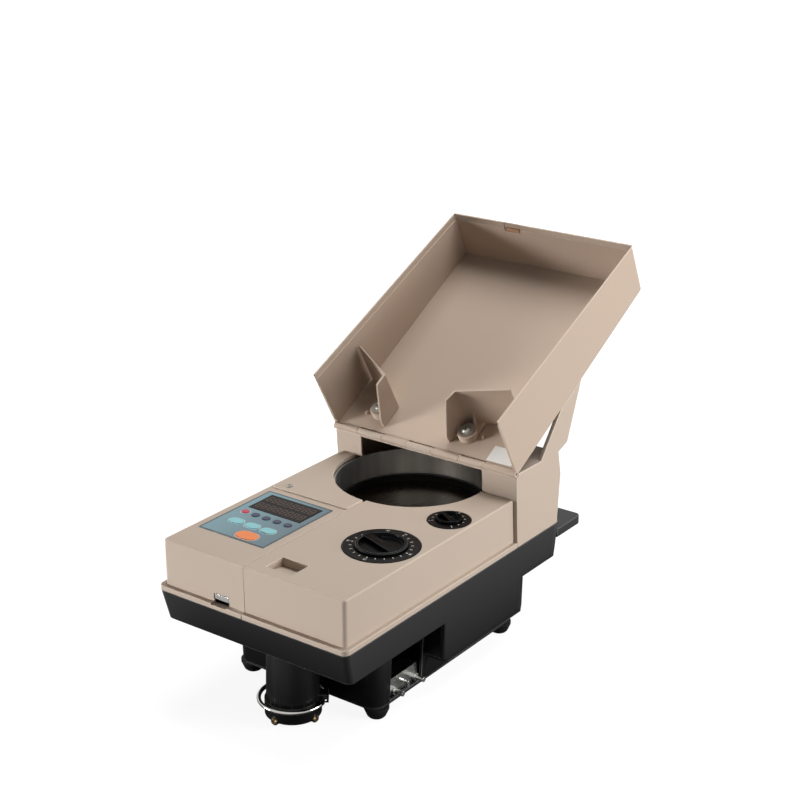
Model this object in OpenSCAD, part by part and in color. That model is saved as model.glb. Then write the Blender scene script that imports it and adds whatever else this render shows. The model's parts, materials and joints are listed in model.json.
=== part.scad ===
// Coin counting machine with a hopper tray that folds over as its lid.
// Modelled from the tray hinge and the bottom of the cover lip, then set on the table.

/* [Overall] */
// Width over the lip, the rear housing and the tray
machine_w = 220; // [214:1:232]
// Length from the front of the lip to the tray hinge
body_len = 266; // [264:1:280]
// Distance of the tray hinge behind the middle of the length, tray open
hinge_back = 16.4; // [14:0.1:19]
// Length of the housing behind the hinge
rear_len = 79; // [78:1:86]
// Height of the tray hinge above the bottom of the lip
hinge_rise = 79.1; // [76:0.1:84]

/* [Base] */
// Height of the black base between the feet and the lip
base_h = 100; // [98:1:112]
// Height of the base's upper flange
flange_h = 32; // [30:1:36]
// Inset of the flange's lower edge at the sides and the rear
flange_draft = 2; // [1:0.5:3]
// Inset of the flange's lower edge at the front
flange_front_draft = 8; // [4:1:10]
// Wall of the base
base_wall = 3; // [2.4:0.2:3.6]
// Depth of the base's middle section below the lip
bulge_drop = 77; // [72:1:82]
// Front of the middle section, ahead of the hinge
bulge_front = 116; // [112:1:117]
// Rear of the middle section, behind the hinge
bulge_rear = 17; // [12:1:22]
// Bevel along the lower edge of the middle section
bulge_bevel = 7; // [4:1:9]
// Width of the lower box at its top
box_top_w = 174; // [170:1:180]
// Width of the lower box at its bottom
box_low_w = 168; // [166:1:170]
// Distance of the lower box behind the front of the lip
box_set_back = 77; // [74:1:80]
// Rear of the lower box, behind the hinge
box_rear = 40; // [38:1:44]
// Corner radius of the lower box
box_corner_r = 12; // [8:1:14]
// Distance between the feet across the machine
foot_span_x = 150; // [140:1:154]
// Distance of the front feet behind the front of the lower box
foot_front_inset = 12; // [10:1:16]
// Distance of the rear feet ahead of the rear of the lower box
foot_rear_inset = 11; // [10:1:16]
// Height of the rubber feet
foot_h = 11.5; // [9:0.5:14]
// Diameter of a foot at its top
foot_top_d = 24; // [21:1:26]
// Diameter of a foot at the table
foot_low_d = 18; // [14:1:20]
// Sheet of the bottom plate
bottom_plate_t = 1.5; // [1:0.5:2]
// Distance of the cut-out in the right side behind the front of the lower box
window_inset = 21; // [19:1:23]
// Length of the cut-out in the right side
window_len = 49; // [45:1:50]
// Width of the rear carrying handle
handle_w = 214; // [200:1:214]
// Reach of the carrying handle behind the housing
handle_len = 52; // [46:1:56]
// Thickness of the carrying handle
handle_t = 9.5; // [8:0.5:11]
// Depth of the handle below the lip
handle_drop = 10.5; // [8:0.5:12]
// Width of the finger slot in the handle
handle_slot_w = 92; // [80:1:110]

/* [Covers] */
// Height of the cover top above the bottom of the lip
cover_h = 50.4; // [49:0.2:52]
// Height of the lip round the covers
lip_h = 5; // [4:0.5:6]
// Step from the lip in to the cover's side
lip_step = 4.3; // [3.8:0.1:5]
// Step from the lip in to the cover's front
lip_front_step = 5; // [4.5:0.1:6]
// Wall of the covers and of the rear housing
cover_wall = 2.5; // [2:0.1:3]
// Radius of the covers' upright corners
cover_corner_r = 4; // [3.5:0.5:6]
// Radius of the covers' top edge
cover_edge_r = 1.5; // [1:0.1:2]
// Distance of the seam between the two covers from the panel
seam_side = 10; // [6:0.5:10.5]
// Radius of the bowl opening in the right cover
bowl_r = 76; // [75:0.5:77]
// Radius of the bowl opening in the left cover and the bowl plate
bowl_left_r = 80; // [79:0.5:81]
// Thickness of the bowl plate on the left cover
bowl_plate_t = 1.5; // [1:0.25:2]
// Front edge of the bowl plate, ahead of the hinge
bowl_plate_front = 111.7; // [108:0.1:114]
// Length of the finger recess across the machine
recess_w = 29.5; // [26:0.5:34]
// Width of the finger recess along the machine
recess_len = 23.5; // [20:0.5:25]
// Depth of the finger recess
recess_depth = 9; // [7:0.5:11]

/* [Rear housing] */
// Lean of the rear housing's front over the hinge height
riser_lean = 5.2; // [4:0.2:6]
// Width of the mouth over the bowl
mouth_w = 147.5; // [140:0.5:149]
// Depth of the beam above the mouth, below the hinge
mouth_beam = 5.6; // [5.4:0.1:7]
// Thickness of the two arms that carry the open tray
arm_t = 4.5; // [4:0.5:6]
// Start of an arm on top of the housing, behind the hinge
arm_foot = 45; // [40:1:50]
// Front end of an arm's top under the tray, behind the hinge
arm_top_front = 79.5; // [76:0.5:84]
// Rear end of an arm's top under the tray, behind the hinge
arm_top_rear = 116; // [108:1:122]

/* [Tray] */
// Swing of the tray from open to closed
tray_swing = 154.9; // [152:0.1:157]
// Fall of the closed tray's floor from the hinge to its far end
lid_drop = 19.3; // [18.5:0.1:19.5]
// Wall and floor of the tray
tray_wall = 2.5; // [2:0.1:2.5]
// Gap between the closed tray's rim and the lip
rim_gap = 0.6; // [0.4:0.1:1]
// Radius of the hinge barrel
barrel_r = 3.5; // [3:0.1:3.8]
// Radius of the hinge pin
hinge_pin_r = 1.5; // [1.2:0.1:1.8]
// Height of the guide wings
wing_h = 48; // [40:1:49]
// Length of a wing's long plate
wing_long = 57; // [50:1:57]
// Length of a wing's short plate at the floor
wing_short = 30; // [26:1:31]
// Length of a wing's short plate at its top
wing_short_top = 15; // [12:1:18]
// Distance from a wing's pivot to its long plate
wing_offset = 17.9; // [17:0.1:19]
// Sheet of the wings
wing_t = 2.4; // [2:0.1:3]
// Turn of the left wing away from straight across
wing_left_turn = 29; // [27:1:31]
// Turn of the right wing away from straight across
wing_right_turn = 18; // [16:1:20]
// Distance of the left wing's pivot from the machine's left side
wing_left_side = 41.8; // [41.6:0.1:44]
// Distance of the right wing's pivot from the machine's right side
wing_right_side = 71.2; // [71:0.1:74]
// Distance of the wing pivots up the floor from the hinge
wing_up = 27.5; // [26:0.5:29]
// Radius of a wing's pivot boss
wing_boss_r = 10; // [9:0.5:11]
// Height of a wing's pivot boss
wing_boss_h = 8; // [6:0.5:9]

/* [Bowl and drive] */
// Radius of the steel hopper ring, inside
ring_r = 78; // [77.5:0.1:78.2]
// Sheet of the hopper ring
ring_t = 2; // [1.5:0.1:2.2]
// Height of the hopper ring
ring_h = 27; // [25:0.5:27.4]
// Radius of the feed disc
disc_r = 74.5; // [73:0.5:75]
// Thickness of the feed disc
disc_t = 3; // [2:0.5:4]
// Height of the coin path above the bottom of the lip
coin_z = 10; // [9:0.5:11]
// Radius of the disc's shaft
shaft_r = 5; // [4:0.5:6]
// Radius of the disc's pulley
disc_pulley_r = 27; // [22:1:30]
// Radius of the motor's pulley
motor_pulley_r = 9; // [7:1:12]
// Diameter of the motor
motor_d = 58; // [50:1:60]
// Length of the motor
motor_len = 58; // [50:1:62]
// Radius of the coin belt's pulleys
belt_pulley_r = 9; // [8:0.5:10]
// Thickness of both belts
belt_t = 1.5; // [1:0.1:1.8]

/* [Dials] */
// Radius of the large dial's scale
large_scale_r = 36.5; // [35:0.5:38]
// Radius of the large dial's knob
large_knob_r = 24.5; // [22:0.5:26]
// Distance of the large dial behind the front of the lip
large_back = 111.7; // [110:0.1:113]
// Distance of the large dial from the machine's right side
large_side = 45.8; // [45:0.1:47]
// Radius of the small dial's scale
small_scale_r = 21; // [20:0.5:22]
// Distance of the small dial ahead of the hinge
small_ahead = 71.5; // [70:0.1:73]
// Distance of the small dial from the machine's right side
small_side = 28.5; // [28:0.1:30]
// Radius of the small dial's knob
small_knob_r = 12.5; // [11:0.5:14]
// Height of the knobs above the covers
knob_rise = 3.5; // [2:0.5:5]
// Travel of the guide rail over the large dial's range
rail_travel = 20; // [16:1:21]
// Range of the large dial
dial_range = 270; // [240:5:280]
// Width of the large knob's grip bar
large_bar_w = 9; // [7:0.5:10]
// Turn of the large knob's grip bar in the middle of its range
large_bar_turn = 162; // [150:1:170]
// Width of the small knob's grip bar
small_bar_w = 5; // [4:0.5:6]
// Turn of the small knob's grip bar in the middle of its range
small_bar_turn = 152; // [130:1:160]

/* [Panel] */
// Width of the panel overlay
panel_w = 78.5; // [78:0.5:82]
// Distance of the panel overlay behind the front of the lip
panel_back = 43.5; // [42:0.1:44]
// Distance of the panel overlay from the cover's left side
panel_side = 8.7; // [8:0.1:9]
// Distance of the panel overlay from the bowl plate
panel_gap = 8.8; // [7:0.1:9]
// Thickness of the panel overlay
panel_t = 1.2; // [1:0.1:1.5]
// Width of the display window
display_w = 63; // [56:1:66]
// Share of the panel's length that the display window takes
display_share = 0.343; // [0.32:0.001:0.35]
// Width of a small key
small_key_w = 8; // [7:0.5:9]
// Width of a cyan key
cyan_key_w = 15.5; // [14:0.5:17]
// Width of the orange key
orange_key_w = 23; // [20:0.5:26]
// Travel of a key
key_travel = 0.4; // [0.3:0.1:0.5]

/* [Spout] */
// Radius of the coin spout's bore
spout_bore_r = 21.5; // [20:0.5:22]
// Wall of the spout
spout_wall = 2.5; // [2:0.1:3]
// Distance of the spout's end above the table
spout_clear = 6.5; // [5:0.5:9]
// Height of the thicker band at the spout's end
band_h = 17; // [14:0.5:20]
// Thickness of that band over the spout
band_t = 2.5; // [2:0.1:3]
// Radius of the bag ring's wire
wire_r = 2; // [1.5:0.1:2.2]

/* [Hidden] */
$fn = 64;

beige = "#c4b197";
black = "#1b1b1d";
steel = "#8d8f92";
dark_steel = "#4a4746";
navy = "#27314f";
cyan = "#2f9fc4";

eps = 0.01;
gap = 0.5;
run_gap = 0.05;
turn_gap = 0.3;

half_w = machine_w / 2;
front = -body_len;
lip_z = foot_h + base_h;
box_front = body_len - box_set_back;
window_front = box_front - window_inset;
lip_r = 6;
edge_in = 1.5;
rear_edge = 8;
skirt_drop = 6.5;

deck_t = 3;
deck_top = -1;
deck_low = deck_top - deck_t;
boss_r = 5;
flange_floor = -flange_h + base_wall;
box_floor = -base_h + bottom_plate_t;

bowl_c = [-7, -6];
spout_c = [15, front + 41];
large_c = [half_w - large_side, front + large_back];
small_c = [half_w - small_side, -small_ahead];
motor_c = [48, -62];

cover_x = half_w - lip_step;
cover_front = front + lip_front_step;
cover_in = cover_h - cover_wall;
seam_gap = 0.4;

latch_low = lip_h - 1.3;
latch_top = lip_h + 8.4;
screw_r = 1.6;
plate_screw_c = [18.7 - cover_x, 9.1 - bowl_plate_front];

panel_x0 = panel_side - cover_x;
panel_y0 = front + panel_back;
panel_len = body_len - bowl_plate_front - panel_back - panel_gap;
seam_x = panel_x0 + panel_w + seam_side;
display_len = panel_len * display_share;
panel_z0 = cover_h - 0.8;
panel_top = panel_z0 + panel_t;
panel_rim = 4;
board_t = 1.6;
board_top = panel_z0 - 12;
display_x0 = panel_x0 + 8;
display_y0 = panel_y0 + panel_len - 6 - display_len;
switch_h = 6;
small_key_d = panel_len * 0.073;
cyan_key_d = panel_len * 0.099;
orange_key_d = panel_len * 0.142;
key_rise = 0.8;
key_gap = 0.25;
red_key_c = [panel_x0 + 13.3, panel_y0 + panel_len * 0.5];
navy_y = panel_y0 + panel_len * 0.495;
navy_x0 = panel_x0 + 26.3;
navy_step = 13.1;
cyan_y = panel_y0 + panel_len * 0.294;
cyan_x0 = panel_x0 + 20.2;
cyan_step = 19.4;
orange_key_c = [panel_x0 + 49.7, panel_y0 + panel_len * 0.108];

knuckle_cut = barrel_r + 0.7;
knuckles = [[-80, -50], [-19, 11], [44, 72]];
knuckle_gap = 0.4;
riser_top = hinge_rise - gap;
mouth_top = hinge_rise - mouth_beam;
mouth_mid = -4.25;

lid_tilt = atan(lid_drop / body_len);
floor_angle = 180 + lid_tilt - tray_swing;
rim_drop = hinge_rise - lip_h - rim_gap;
floor_len = norm([body_len, lid_drop]);
floor_top = tray_wall / 2;
wing_fold = -5.5;
wing_bend = 120;
wing_post_r = 4;
wing_lift = 0.5;
wing_short_gap = abs(wing_fold * sin(wing_bend / 2) - wing_offset * cos(wing_bend / 2)) - 1;
post_top = floor_top + wing_lift + wing_boss_h + 0.2;
rim_step = 1;
rim_step_h = 6;
far_corner_r = 5;
catch_recess = 1.7;
catch_x = -36;
catch_w = 18;
far_rim = rim_point(front);
far_lean = atan2(far_rim.x - floor_len, far_rim.y);
catch_low = norm(far_rim - [floor_len, 0]) - 10.4;

ring_low = coin_z + 10;
ring_top = ring_low + ring_h;
disc_low = coin_z - disc_t;
pulley_h = 9;
pulley_top = deck_low - 5;
bracket_z = pulley_top - pulley_h - 6;
bracket_t = 3;
motor_axle_r = 3;

belt_x = 4;
belt_w = 6;
belt_z = coin_z + 2.5 + belt_t + belt_pulley_r;
belt_rear_y = bowl_c.y - ring_r - 26;
belt_front_y = spout_c.y + 30;
axle_r = 2.5;
bed_left = -8;
rail_t = 4;
rail_arm = 22;
rail_mid_x = large_c.x - rail_arm - 18;
bed_right = rail_mid_x + rail_travel / 2 + 10.8;
pin_r = 1.5;
cam_r = 33;
cam_low = coin_z + 9;
cam_t = 3;
cam_mid_r = large_c.x - rail_mid_x - rail_arm;
cam_slope = rail_travel / dial_range;
slot_half = pin_r + 0.5;
slot_ease = asin((pin_r + 1.2) / (cam_mid_r - rail_travel / 2));
spindle_r = 4;
gate_spindle_r = 3;
wheel_r = 13;
gate_fit = 0.08;
gate_half = 4.5;
gate_ahead = bowl_c.y - small_c.y - gate_half;
gate_clear = 2;
gate_x = bowl_c.x + sqrt(pow(ring_r + ring_t, 2) - pow(gate_ahead, 2)) + gate_clear;
gate_z = coin_z + 14;
gate_t = 4;
wheel_low = gate_z + gate_t + 2.4;
wheel_top = cover_h - 13.8;
gate_post_x = (gate_x + small_c.x) / 2 - 2.25;

spout_low = -base_h - foot_h + spout_clear;
spout_top_r = spout_bore_r + spout_wall - 0.5;
spout_low_r = spout_bore_r + spout_wall + 1;
band_r = spout_low_r + band_t - 1;
lug_dir = 36.87;
rivet_turn = -91;
rivet_z = spout_low + 2;
rivet_boss_r = 4.2;
rivet_seat = band_r + 0.6;
wire_ring_r = band_r + 4.5;
wire_shift = 0.5;
wire_z = spout_low + band_h - 1;
wire_pin_half = 8;
wire_pin_x = sqrt(wire_ring_r * wire_ring_r - wire_pin_half * wire_pin_half) - wire_shift;

window_top = -flange_h - 1;
window_low = box_floor + 2;
entry_x = -20;
entry_z = -68;
entry_w = 62;
entry_h = 24;
rocker_w = 13;
rocker_x = entry_x + 20;
inlet_x = entry_x - 12;
rocker_pin_r = 1.5;
rocker_y = box_rear - 2;

// Move a shape from the hinge and lip frame to the table frame
module placed() {
    translate([0, hinge_back, lip_z]) children();
}

// Move a shape from the open tray's floor frame to the hinge and lip frame
module at_floor() {
    translate([0, 0, hinge_rise]) rotate([floor_angle, 0, 0]) children();
}

// Extrude a side outline, drawn in y and z, over a width centred on x
module across(w) {
    rotate([90, 0, 90]) translate([0, 0, -w / 2]) linear_extrude(w) children();
}

module block(x0, x1, y0, y1, z0, z1) {
    translate([x0, y0, z0]) cube([x1 - x0, y1 - y0, z1 - z0]);
}

module rounded_rect(x0, x1, y0, y1, r) {
    translate([x0 + r, y0]) square([x1 - x0 - 2 * r, y1 - y0]);
    translate([x0, y0 + r]) square([x1 - x0, y1 - y0 - 2 * r]);
    for (x = [x0 + r, x1 - r], y = [y0 + r, y1 - r]) {
        translate([x, y]) circle(r);
    }
}

module slab(x0, x1, y0, y1, z0, z1, r) {
    translate([0, 0, z0]) linear_extrude(z1 - z0) rounded_rect(x0, x1, y0, y1, r);
}

module disc(c, r, z0, z1) {
    translate([c.x, c.y, z0]) cylinder(r = r, h = z1 - z0);
}

module rod_x(x0, x1, y, z, r) {
    translate([x0, y, z]) rotate([0, 90, 0]) cylinder(r = r, h = x1 - x0);
}

// Upright corner post with a rounded top edge
module round_post(r, h, edge) {
    rotate_extrude($fn = 32) {
        square([r, h - edge]);
        square([r - edge, h]);
        intersection() {
            translate([r - edge, h - edge]) circle(edge, $fn = 32);
            square([r, h]);
        }
    }
}

module soft_box(x0, x1, y0, y1, z0, z1, r, edge) {
    hull() {
        for (x = [x0 + r, x1 - r], y = [y0 + r, y1 - r]) {
            translate([x, y, z0]) round_post(r, z1 - z0, edge);
        }
    }
}

// Oval with round ends along x
module oval(c, w, d) {
    translate([c.x - (w - d) / 2, c.y - d / 2]) square([w - d, d]);
    for (s = [-1, 1]) {
        translate([c.x + s * (w - d) / 2, c.y]) circle(d / 2);
    }
}

// Front plane of the rear housing at a height
function riser_y(z) = riser_lean * (1 - z / hinge_rise);

// Closed tray point, from the hinge, in the tray's floor frame
function to_floor(p) = [
    -p.x * cos(lid_tilt) - p.y * sin(lid_tilt),
    p.x * sin(lid_tilt) - p.y * cos(lid_tilt)
];

// Point of the tray's rim, above a place on the lip when the tray is closed
function rim_point(y) = to_floor([y, -rim_drop]);

// Pivot of the left or right wing in the tray's floor frame
function wing_c(s) = [s < 0 ? wing_left_side - half_w : half_w - wing_right_side, wing_up];

// Height of the open tray's underside at a distance behind the hinge
function tray_under(y) = hinge_rise + y * tan(floor_angle) - (floor_top + turn_gap) / cos(floor_angle);

function arc_points(c, r, a0, a1, n) = [
    for (i = [0:n]) c + r * [cos(a0 + (a1 - a0) * i / n), sin(a0 + (a1 - a0) * i / n)]
];

// Outline of an open belt round two pulleys
function belt_outline(c0, r0, c1, r1) =
    let (a = atan2(c1.y - c0.y, c1.x - c0.x), b = acos((r0 - r1) / norm(c1 - c0)))
    concat(arc_points(c0, r0, a + b, a + 360 - b, 40), arc_points(c1, r1, a - b, a + b, 24));

module base_hulls(inset, top, low) {
    side = half_w - flange_draft - inset;
    flange_rear = rear_len - flange_draft - inset;
    top_edge = inset > 0 ? 0 : rear_edge;
    bevel_z = -bulge_drop + bulge_bevel;
    hull() {
        for (e = [0, 1]) {
            slab(-half_w + inset + e * edge_in, half_w - inset - e * edge_in, front + inset,
                rear_len - inset + e * top_edge, top - eps, top, lip_r - inset);
            slab(-side + e * edge_in, side - e * edge_in, front + flange_front_draft + inset,
                flange_rear + e * rear_edge, -flange_h + inset, -flange_h + inset + eps, lip_r - inset);
        }
    }
    hull() {
        for (e = [0, 1]) {
            slab(-side + e * edge_in, side - e * edge_in, -bulge_front + inset,
                bulge_rear - inset + e * rear_edge, -flange_h + inset, -flange_h + inset + 1, 4);
            slab(-side + 1 + e * edge_in, side - 1 - e * edge_in, -bulge_front + inset,
                bulge_rear - inset + e * rear_edge, bevel_z, bevel_z + eps, 4);
        }
        slab(-side + 1 + edge_in, side - 1 - edge_in, -bulge_front + bulge_bevel + inset,
            bulge_rear - inset + rear_edge - edge_in, -bulge_drop + inset, -bulge_drop + inset + eps, 4);
    }
    hull() {
        slab(-box_top_w / 2 + inset, box_top_w / 2 - inset, -box_front + inset, box_rear - inset,
            -flange_h + inset, -flange_h + inset + 1, box_corner_r - inset);
        slab(-box_low_w / 2 + inset, box_low_w / 2 - inset, -box_front + inset, box_rear - inset,
            low, low + eps, box_corner_r - inset);
    }
}

module rear_skirt() {
    side = half_w - flange_draft;
    rear = rear_len - flange_draft + rear_edge;
    difference() {
        hull() {
            slab(-side + edge_in, side - edge_in, 0, rear, -flange_h - eps, -flange_h + eps, lip_r);
            slab(-side, side, 0, rear - rear_edge, -flange_h - eps, -flange_h + eps, lip_r);
            slab(-side + edge_in, side - edge_in, 0, rear - edge_in, -flange_h - skirt_drop,
                -flange_h - skirt_drop + eps, lip_r);
        }
        slab(-side + 2 * base_wall, side - 2 * base_wall, -lip_r, rear - 2 * base_wall,
            -flange_h - skirt_drop - 1, -flange_h + 1, lip_r);
        block(-half_w, half_w, -1, bulge_rear - base_wall, -flange_h - skirt_drop - 1, -flange_h + 1);
    }
}

module base_shell() color(black) placed() {
    boss_x = half_w - 14;
    boss_rows = [front + 27, -box_front + 37, rear_len - 20];
    slot_r = 10;
    difference() {
        base_hulls(0, 0, box_floor);
        base_hulls(base_wall, 1, box_floor - 1);
        disc(spout_c, spout_top_r + turn_gap, -flange_h - 1, flange_floor + 1);
        block(box_low_w / 2 - base_wall - 3, half_w, -window_front, -window_front + window_len,
            window_low, window_top);
        block(entry_x - entry_w / 2, entry_x + entry_w / 2, box_rear - base_wall - 1, box_rear + 1,
            entry_z - entry_h / 2, entry_z + entry_h / 2);
    }
    rear_skirt();
    for (x = [-boss_x, boss_x], y = boss_rows) {
        disc([x, y], boss_r, flange_floor - 1, deck_low);
    }
    handle_root = rear_len + rear_edge - base_wall + 1;
    difference() {
        slab(-handle_w / 2, handle_w / 2, handle_root - 7, rear_len + handle_len,
            -handle_drop - handle_t, -handle_drop, 6);
        block(-handle_w, handle_w, handle_root - 10, handle_root, -flange_h, 0);
        slab(-handle_slot_w / 2, handle_slot_w / 2, rear_len + handle_len / 2 - slot_r,
            rear_len + handle_len / 2 + slot_r, -handle_drop - handle_t - 1, -handle_drop + 1, slot_r - eps);
    }
}

module bottom_plate() color("#2a2a2c") placed() {
    slab(-box_low_w / 2, box_low_w / 2, -box_front, box_rear, -base_h, box_floor, box_corner_r);
}

module rubber_feet() color("#101012") placed() {
    edge = 1.5;
    foot_rows = [foot_front_inset - box_front, box_rear - foot_rear_inset];
    for (x = [-foot_span_x / 2, foot_span_x / 2], y = foot_rows) {
        translate([x, y, -base_h - foot_h]) rotate_extrude() {
            polygon([[0, 0], [foot_low_d / 2 - edge, 0], [foot_low_d / 2, edge], [foot_top_d / 2, foot_h - 3],
                [foot_top_d / 2, foot_h], [0, foot_h]]);
        }
    }
}

module deck_plate() color(steel) placed() {
    difference() {
        slab(-half_w + 7, half_w - 7, front + 10, rear_len - 7, deck_low, deck_top, 6);
        disc(spout_c, spout_bore_r, deck_low - 1, deck_top + 1);
        disc(bowl_c, 2 * shaft_r + 1 + turn_gap, deck_low - 1, deck_top + 1);
    }
    disc([gate_post_x, small_c.y], gate_spindle_r, deck_top - eps, wheel_low - 0.7);
}

// Both covers in one: lip, walls and top, cut square to the rear housing's front
module cover_form() {
    intersection() {
        difference() {
            union() {
                slab(-half_w, half_w, front, 30, 0, lip_h, lip_r);
                soft_box(-cover_x, cover_x, cover_front, 30, 0, cover_h, cover_corner_r, cover_edge_r);
            }
            slab(-cover_x + cover_wall, cover_x - cover_wall, cover_front + cover_wall, 40, -1, cover_in,
                cover_corner_r - cover_wall);
        }
        across(2 * machine_w) polygon([[front - 1, -1], [riser_y(-1) - gap, -1],
            [riser_y(cover_h + 1) - gap, cover_h + 1], [front - 1, cover_h + 1]]);
    }
}

module left_cover() color(beige) placed() {
    post_r = 3;
    window_rim = panel_rim + 1;
    difference() {
        intersection() {
            cover_form();
            block(-machine_w, seam_x - seam_gap / 2, front - 1, rear_len, -1, cover_h + 1);
        }
        disc(bowl_c, bowl_left_r, cover_in - 1, cover_h + 1);
        block(panel_x0 - key_gap, panel_x0 + panel_w + key_gap, panel_y0 - key_gap,
            panel_y0 + panel_len + key_gap, panel_z0, cover_h + 1);
        block(panel_x0 + window_rim, panel_x0 + panel_w - window_rim, panel_y0 + window_rim,
            panel_y0 + panel_len - window_rim, cover_in - 1, cover_h + 1);
        block(orange_key_c.x - orange_key_w / 2 - 2, orange_key_c.x + orange_key_w / 2 + 2, panel_y0 + 1.5,
            panel_y0 + window_rim + 1, cover_in - 1, panel_z0 + eps);
        disc(plate_screw_c, screw_r + gap / 2, cover_in - 1, cover_h + 1);
        block(catch_x - catch_w / 2, catch_x + catch_w / 2, front - 1, cover_front + cover_wall + 1,
            latch_low, latch_top);
    }
    for (x = [panel_x0 + 1, panel_x0 + panel_w - 1], y = [panel_y0 + 1, panel_y0 + panel_len - 1]) {
        disc([x, y], post_r, board_top, cover_in + eps);
    }
}

module right_cover() color(beige) placed() {
    recess_x0 = 7.7;
    recess_y0 = front + 17;
    recess_wall = 1.6;
    recess_low = cover_h - recess_depth;
    difference() {
        union() {
            intersection() {
                cover_form();
                block(seam_x + seam_gap / 2, machine_w, front - 1, rear_len, -1, cover_h + 1);
            }
            block(recess_x0 - recess_wall, recess_x0 + recess_w + recess_wall,
                recess_y0 - recess_wall, recess_y0 + recess_len + recess_wall,
                recess_low - recess_wall, cover_in + eps);
        }
        disc(bowl_c, bowl_r, cover_in - 1, cover_h + 1);
        disc(large_c, large_scale_r + turn_gap, cover_in - 1, cover_h + 1);
        disc(small_c, small_scale_r + turn_gap, cover_in - 1, cover_h + 1);
        translate([recess_x0 + recess_w / 2, 0, 0]) across(recess_w) {
            polygon([[recess_y0, cover_h + 1], [recess_y0, recess_low + 4],
                [recess_y0 + recess_len, recess_low], [recess_y0 + recess_len, cover_h + 1]]);
        }
    }
}

module bowl_plate() color(beige) placed() {
    plate_right = seam_x - 1.1;
    plate_rear = riser_y(cover_h + bowl_plate_t) - gap;
    corner_r = 3;
    difference() {
        slab(-cover_x + 4, plate_right, -bowl_plate_front, plate_rear + 2 * corner_r,
            cover_h, cover_h + bowl_plate_t, corner_r);
        block(-half_w, half_w, plate_rear, plate_rear + 3 * corner_r, cover_h - 1, cover_h + 3);
        disc(bowl_c, bowl_left_r, cover_h - 1, cover_h + bowl_plate_t + 1);
        disc(plate_screw_c, screw_r + gap / 2, cover_h - 1, cover_h + bowl_plate_t + 1);
    }
}

module cover_screw() color(steel) placed() {
    head_r = 3.4;
    head_h = 1.6;
    head_z = cover_h + bowl_plate_t;
    disc(plate_screw_c, head_r, head_z, head_z + head_h);
    disc(plate_screw_c, screw_r, head_z - 8, head_z + eps);
}

module rear_housing() color(beige) placed() {
    w = cover_wall + 0.5;
    back = rear_len - 1;
    swell = 4;
    swell_z = 53;
    front_top = hinge_rise - knuckle_cut;
    rear_top = riser_top - 1.6;
    ring_room = ring_r + ring_t + 2;
    difference() {
        across(machine_w) polygon([[riser_lean, 0], [riser_y(front_top), front_top], [knuckle_cut, front_top],
            [knuckle_cut, riser_top], [back - 1, rear_top], [back + swell, swell_z], [back, 0]]);
        across(machine_w - 2 * w) polygon([[riser_lean + w, -1], [riser_y(mouth_top) + w, mouth_top],
            [back - w - 1, rear_top - w], [back + swell - w, swell_z], [back - w, -1]]);
        block(mouth_mid - mouth_w / 2, mouth_mid + mouth_w / 2, -1, riser_lean + w + 1, -1, mouth_top);
        block(bowl_c.x - ring_room - 5, bowl_c.x + ring_room, -1, riser_lean + w + 1, -1, cover_h);
    }
    for (s = [-1, 1]) {
        translate([s * (half_w - arm_t / 2), 0, 0]) across(arm_t) {
            polygon([[arm_foot, riser_top - 4], [arm_foot, riser_top],
                [arm_top_front, tray_under(arm_top_front)], [arm_top_rear, tray_under(arm_top_rear)],
                [arm_top_rear - 23, riser_top + 4], [back - 1, rear_top], [back - 1, rear_top - 6]]);
        }
    }
    difference() {
        for (k = knuckles) {
            rod_x(k[0], k[1], 0, hinge_rise, barrel_r);
            block(k[0], k[1], 0, knuckle_cut + eps, front_top - eps, hinge_rise - 1);
        }
        rod_x(-half_w, half_w, 0, hinge_rise, hinge_pin_r + run_gap);
    }
}

module hinge_pin() color(steel) placed() {
    rod_x(-half_w + 1, half_w - 1, 0, hinge_rise, hinge_pin_r);
}

module bowl_base() color(black) placed() {
    outer = ring_r + ring_t + 0.2;
    difference() {
        disc(bowl_c, outer, deck_top, ring_low);
        disc(bowl_c, disc_r + 1, deck_top - 1, ring_low + 1);
        block(belt_x - 8, bed_right, front / 2, bowl_c.y, coin_z - 4, ring_low + 1);
    }
}

module hopper_ring() color(dark_steel) placed() {
    difference() {
        disc(bowl_c, ring_r + ring_t, ring_low, ring_top);
        disc(bowl_c, ring_r, ring_low - 1, ring_top + 1);
    }
}

module bearing_housing() color(steel) placed() {
    tube_r = 2 * shaft_r + 1;
    difference() {
        union() {
            disc(bowl_c, tube_r, deck_low - 3, disc_low - 2);
            disc(bowl_c, tube_r + 8, deck_top, deck_top + 3);
        }
        disc(bowl_c, shaft_r + run_gap, deck_low - 4, disc_low);
    }
}

module feed_disc() color(dark_steel) placed() {
    hub_r = 9;
    translate([bowl_c.x, bowl_c.y, disc_low]) rotate_extrude() {
        polygon([[0, 0], [disc_r - 1, 0], [disc_r, 1], [disc_r, disc_t + 1.5], [disc_r - 2, disc_t + 1.5],
            [disc_r - 7, disc_t], [hub_r + 12, disc_t], [hub_r, disc_t + 5], [hub_r - 2, disc_t + 6],
            [0, disc_t + 6]]);
    }
}

module disc_shaft() color(steel) placed() {
    disc(bowl_c, shaft_r, pulley_top - pulley_h, disc_low);
}

// Flanged pulley, axis along z
module pulley(r, h, bore) {
    rim = 1.5;
    difference() {
        union() {
            cylinder(r = r, h = h);
            for (z = [0, h - rim]) {
                translate([0, 0, z]) cylinder(r = r + 2.5, h = rim);
            }
        }
        translate([0, 0, -1]) cylinder(r = bore, h = h + 2);
    }
}

module disc_pulley() color("#2d2f33") placed() {
    translate([bowl_c.x, bowl_c.y, pulley_top - pulley_h]) pulley(disc_pulley_r, pulley_h, shaft_r);
}

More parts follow.
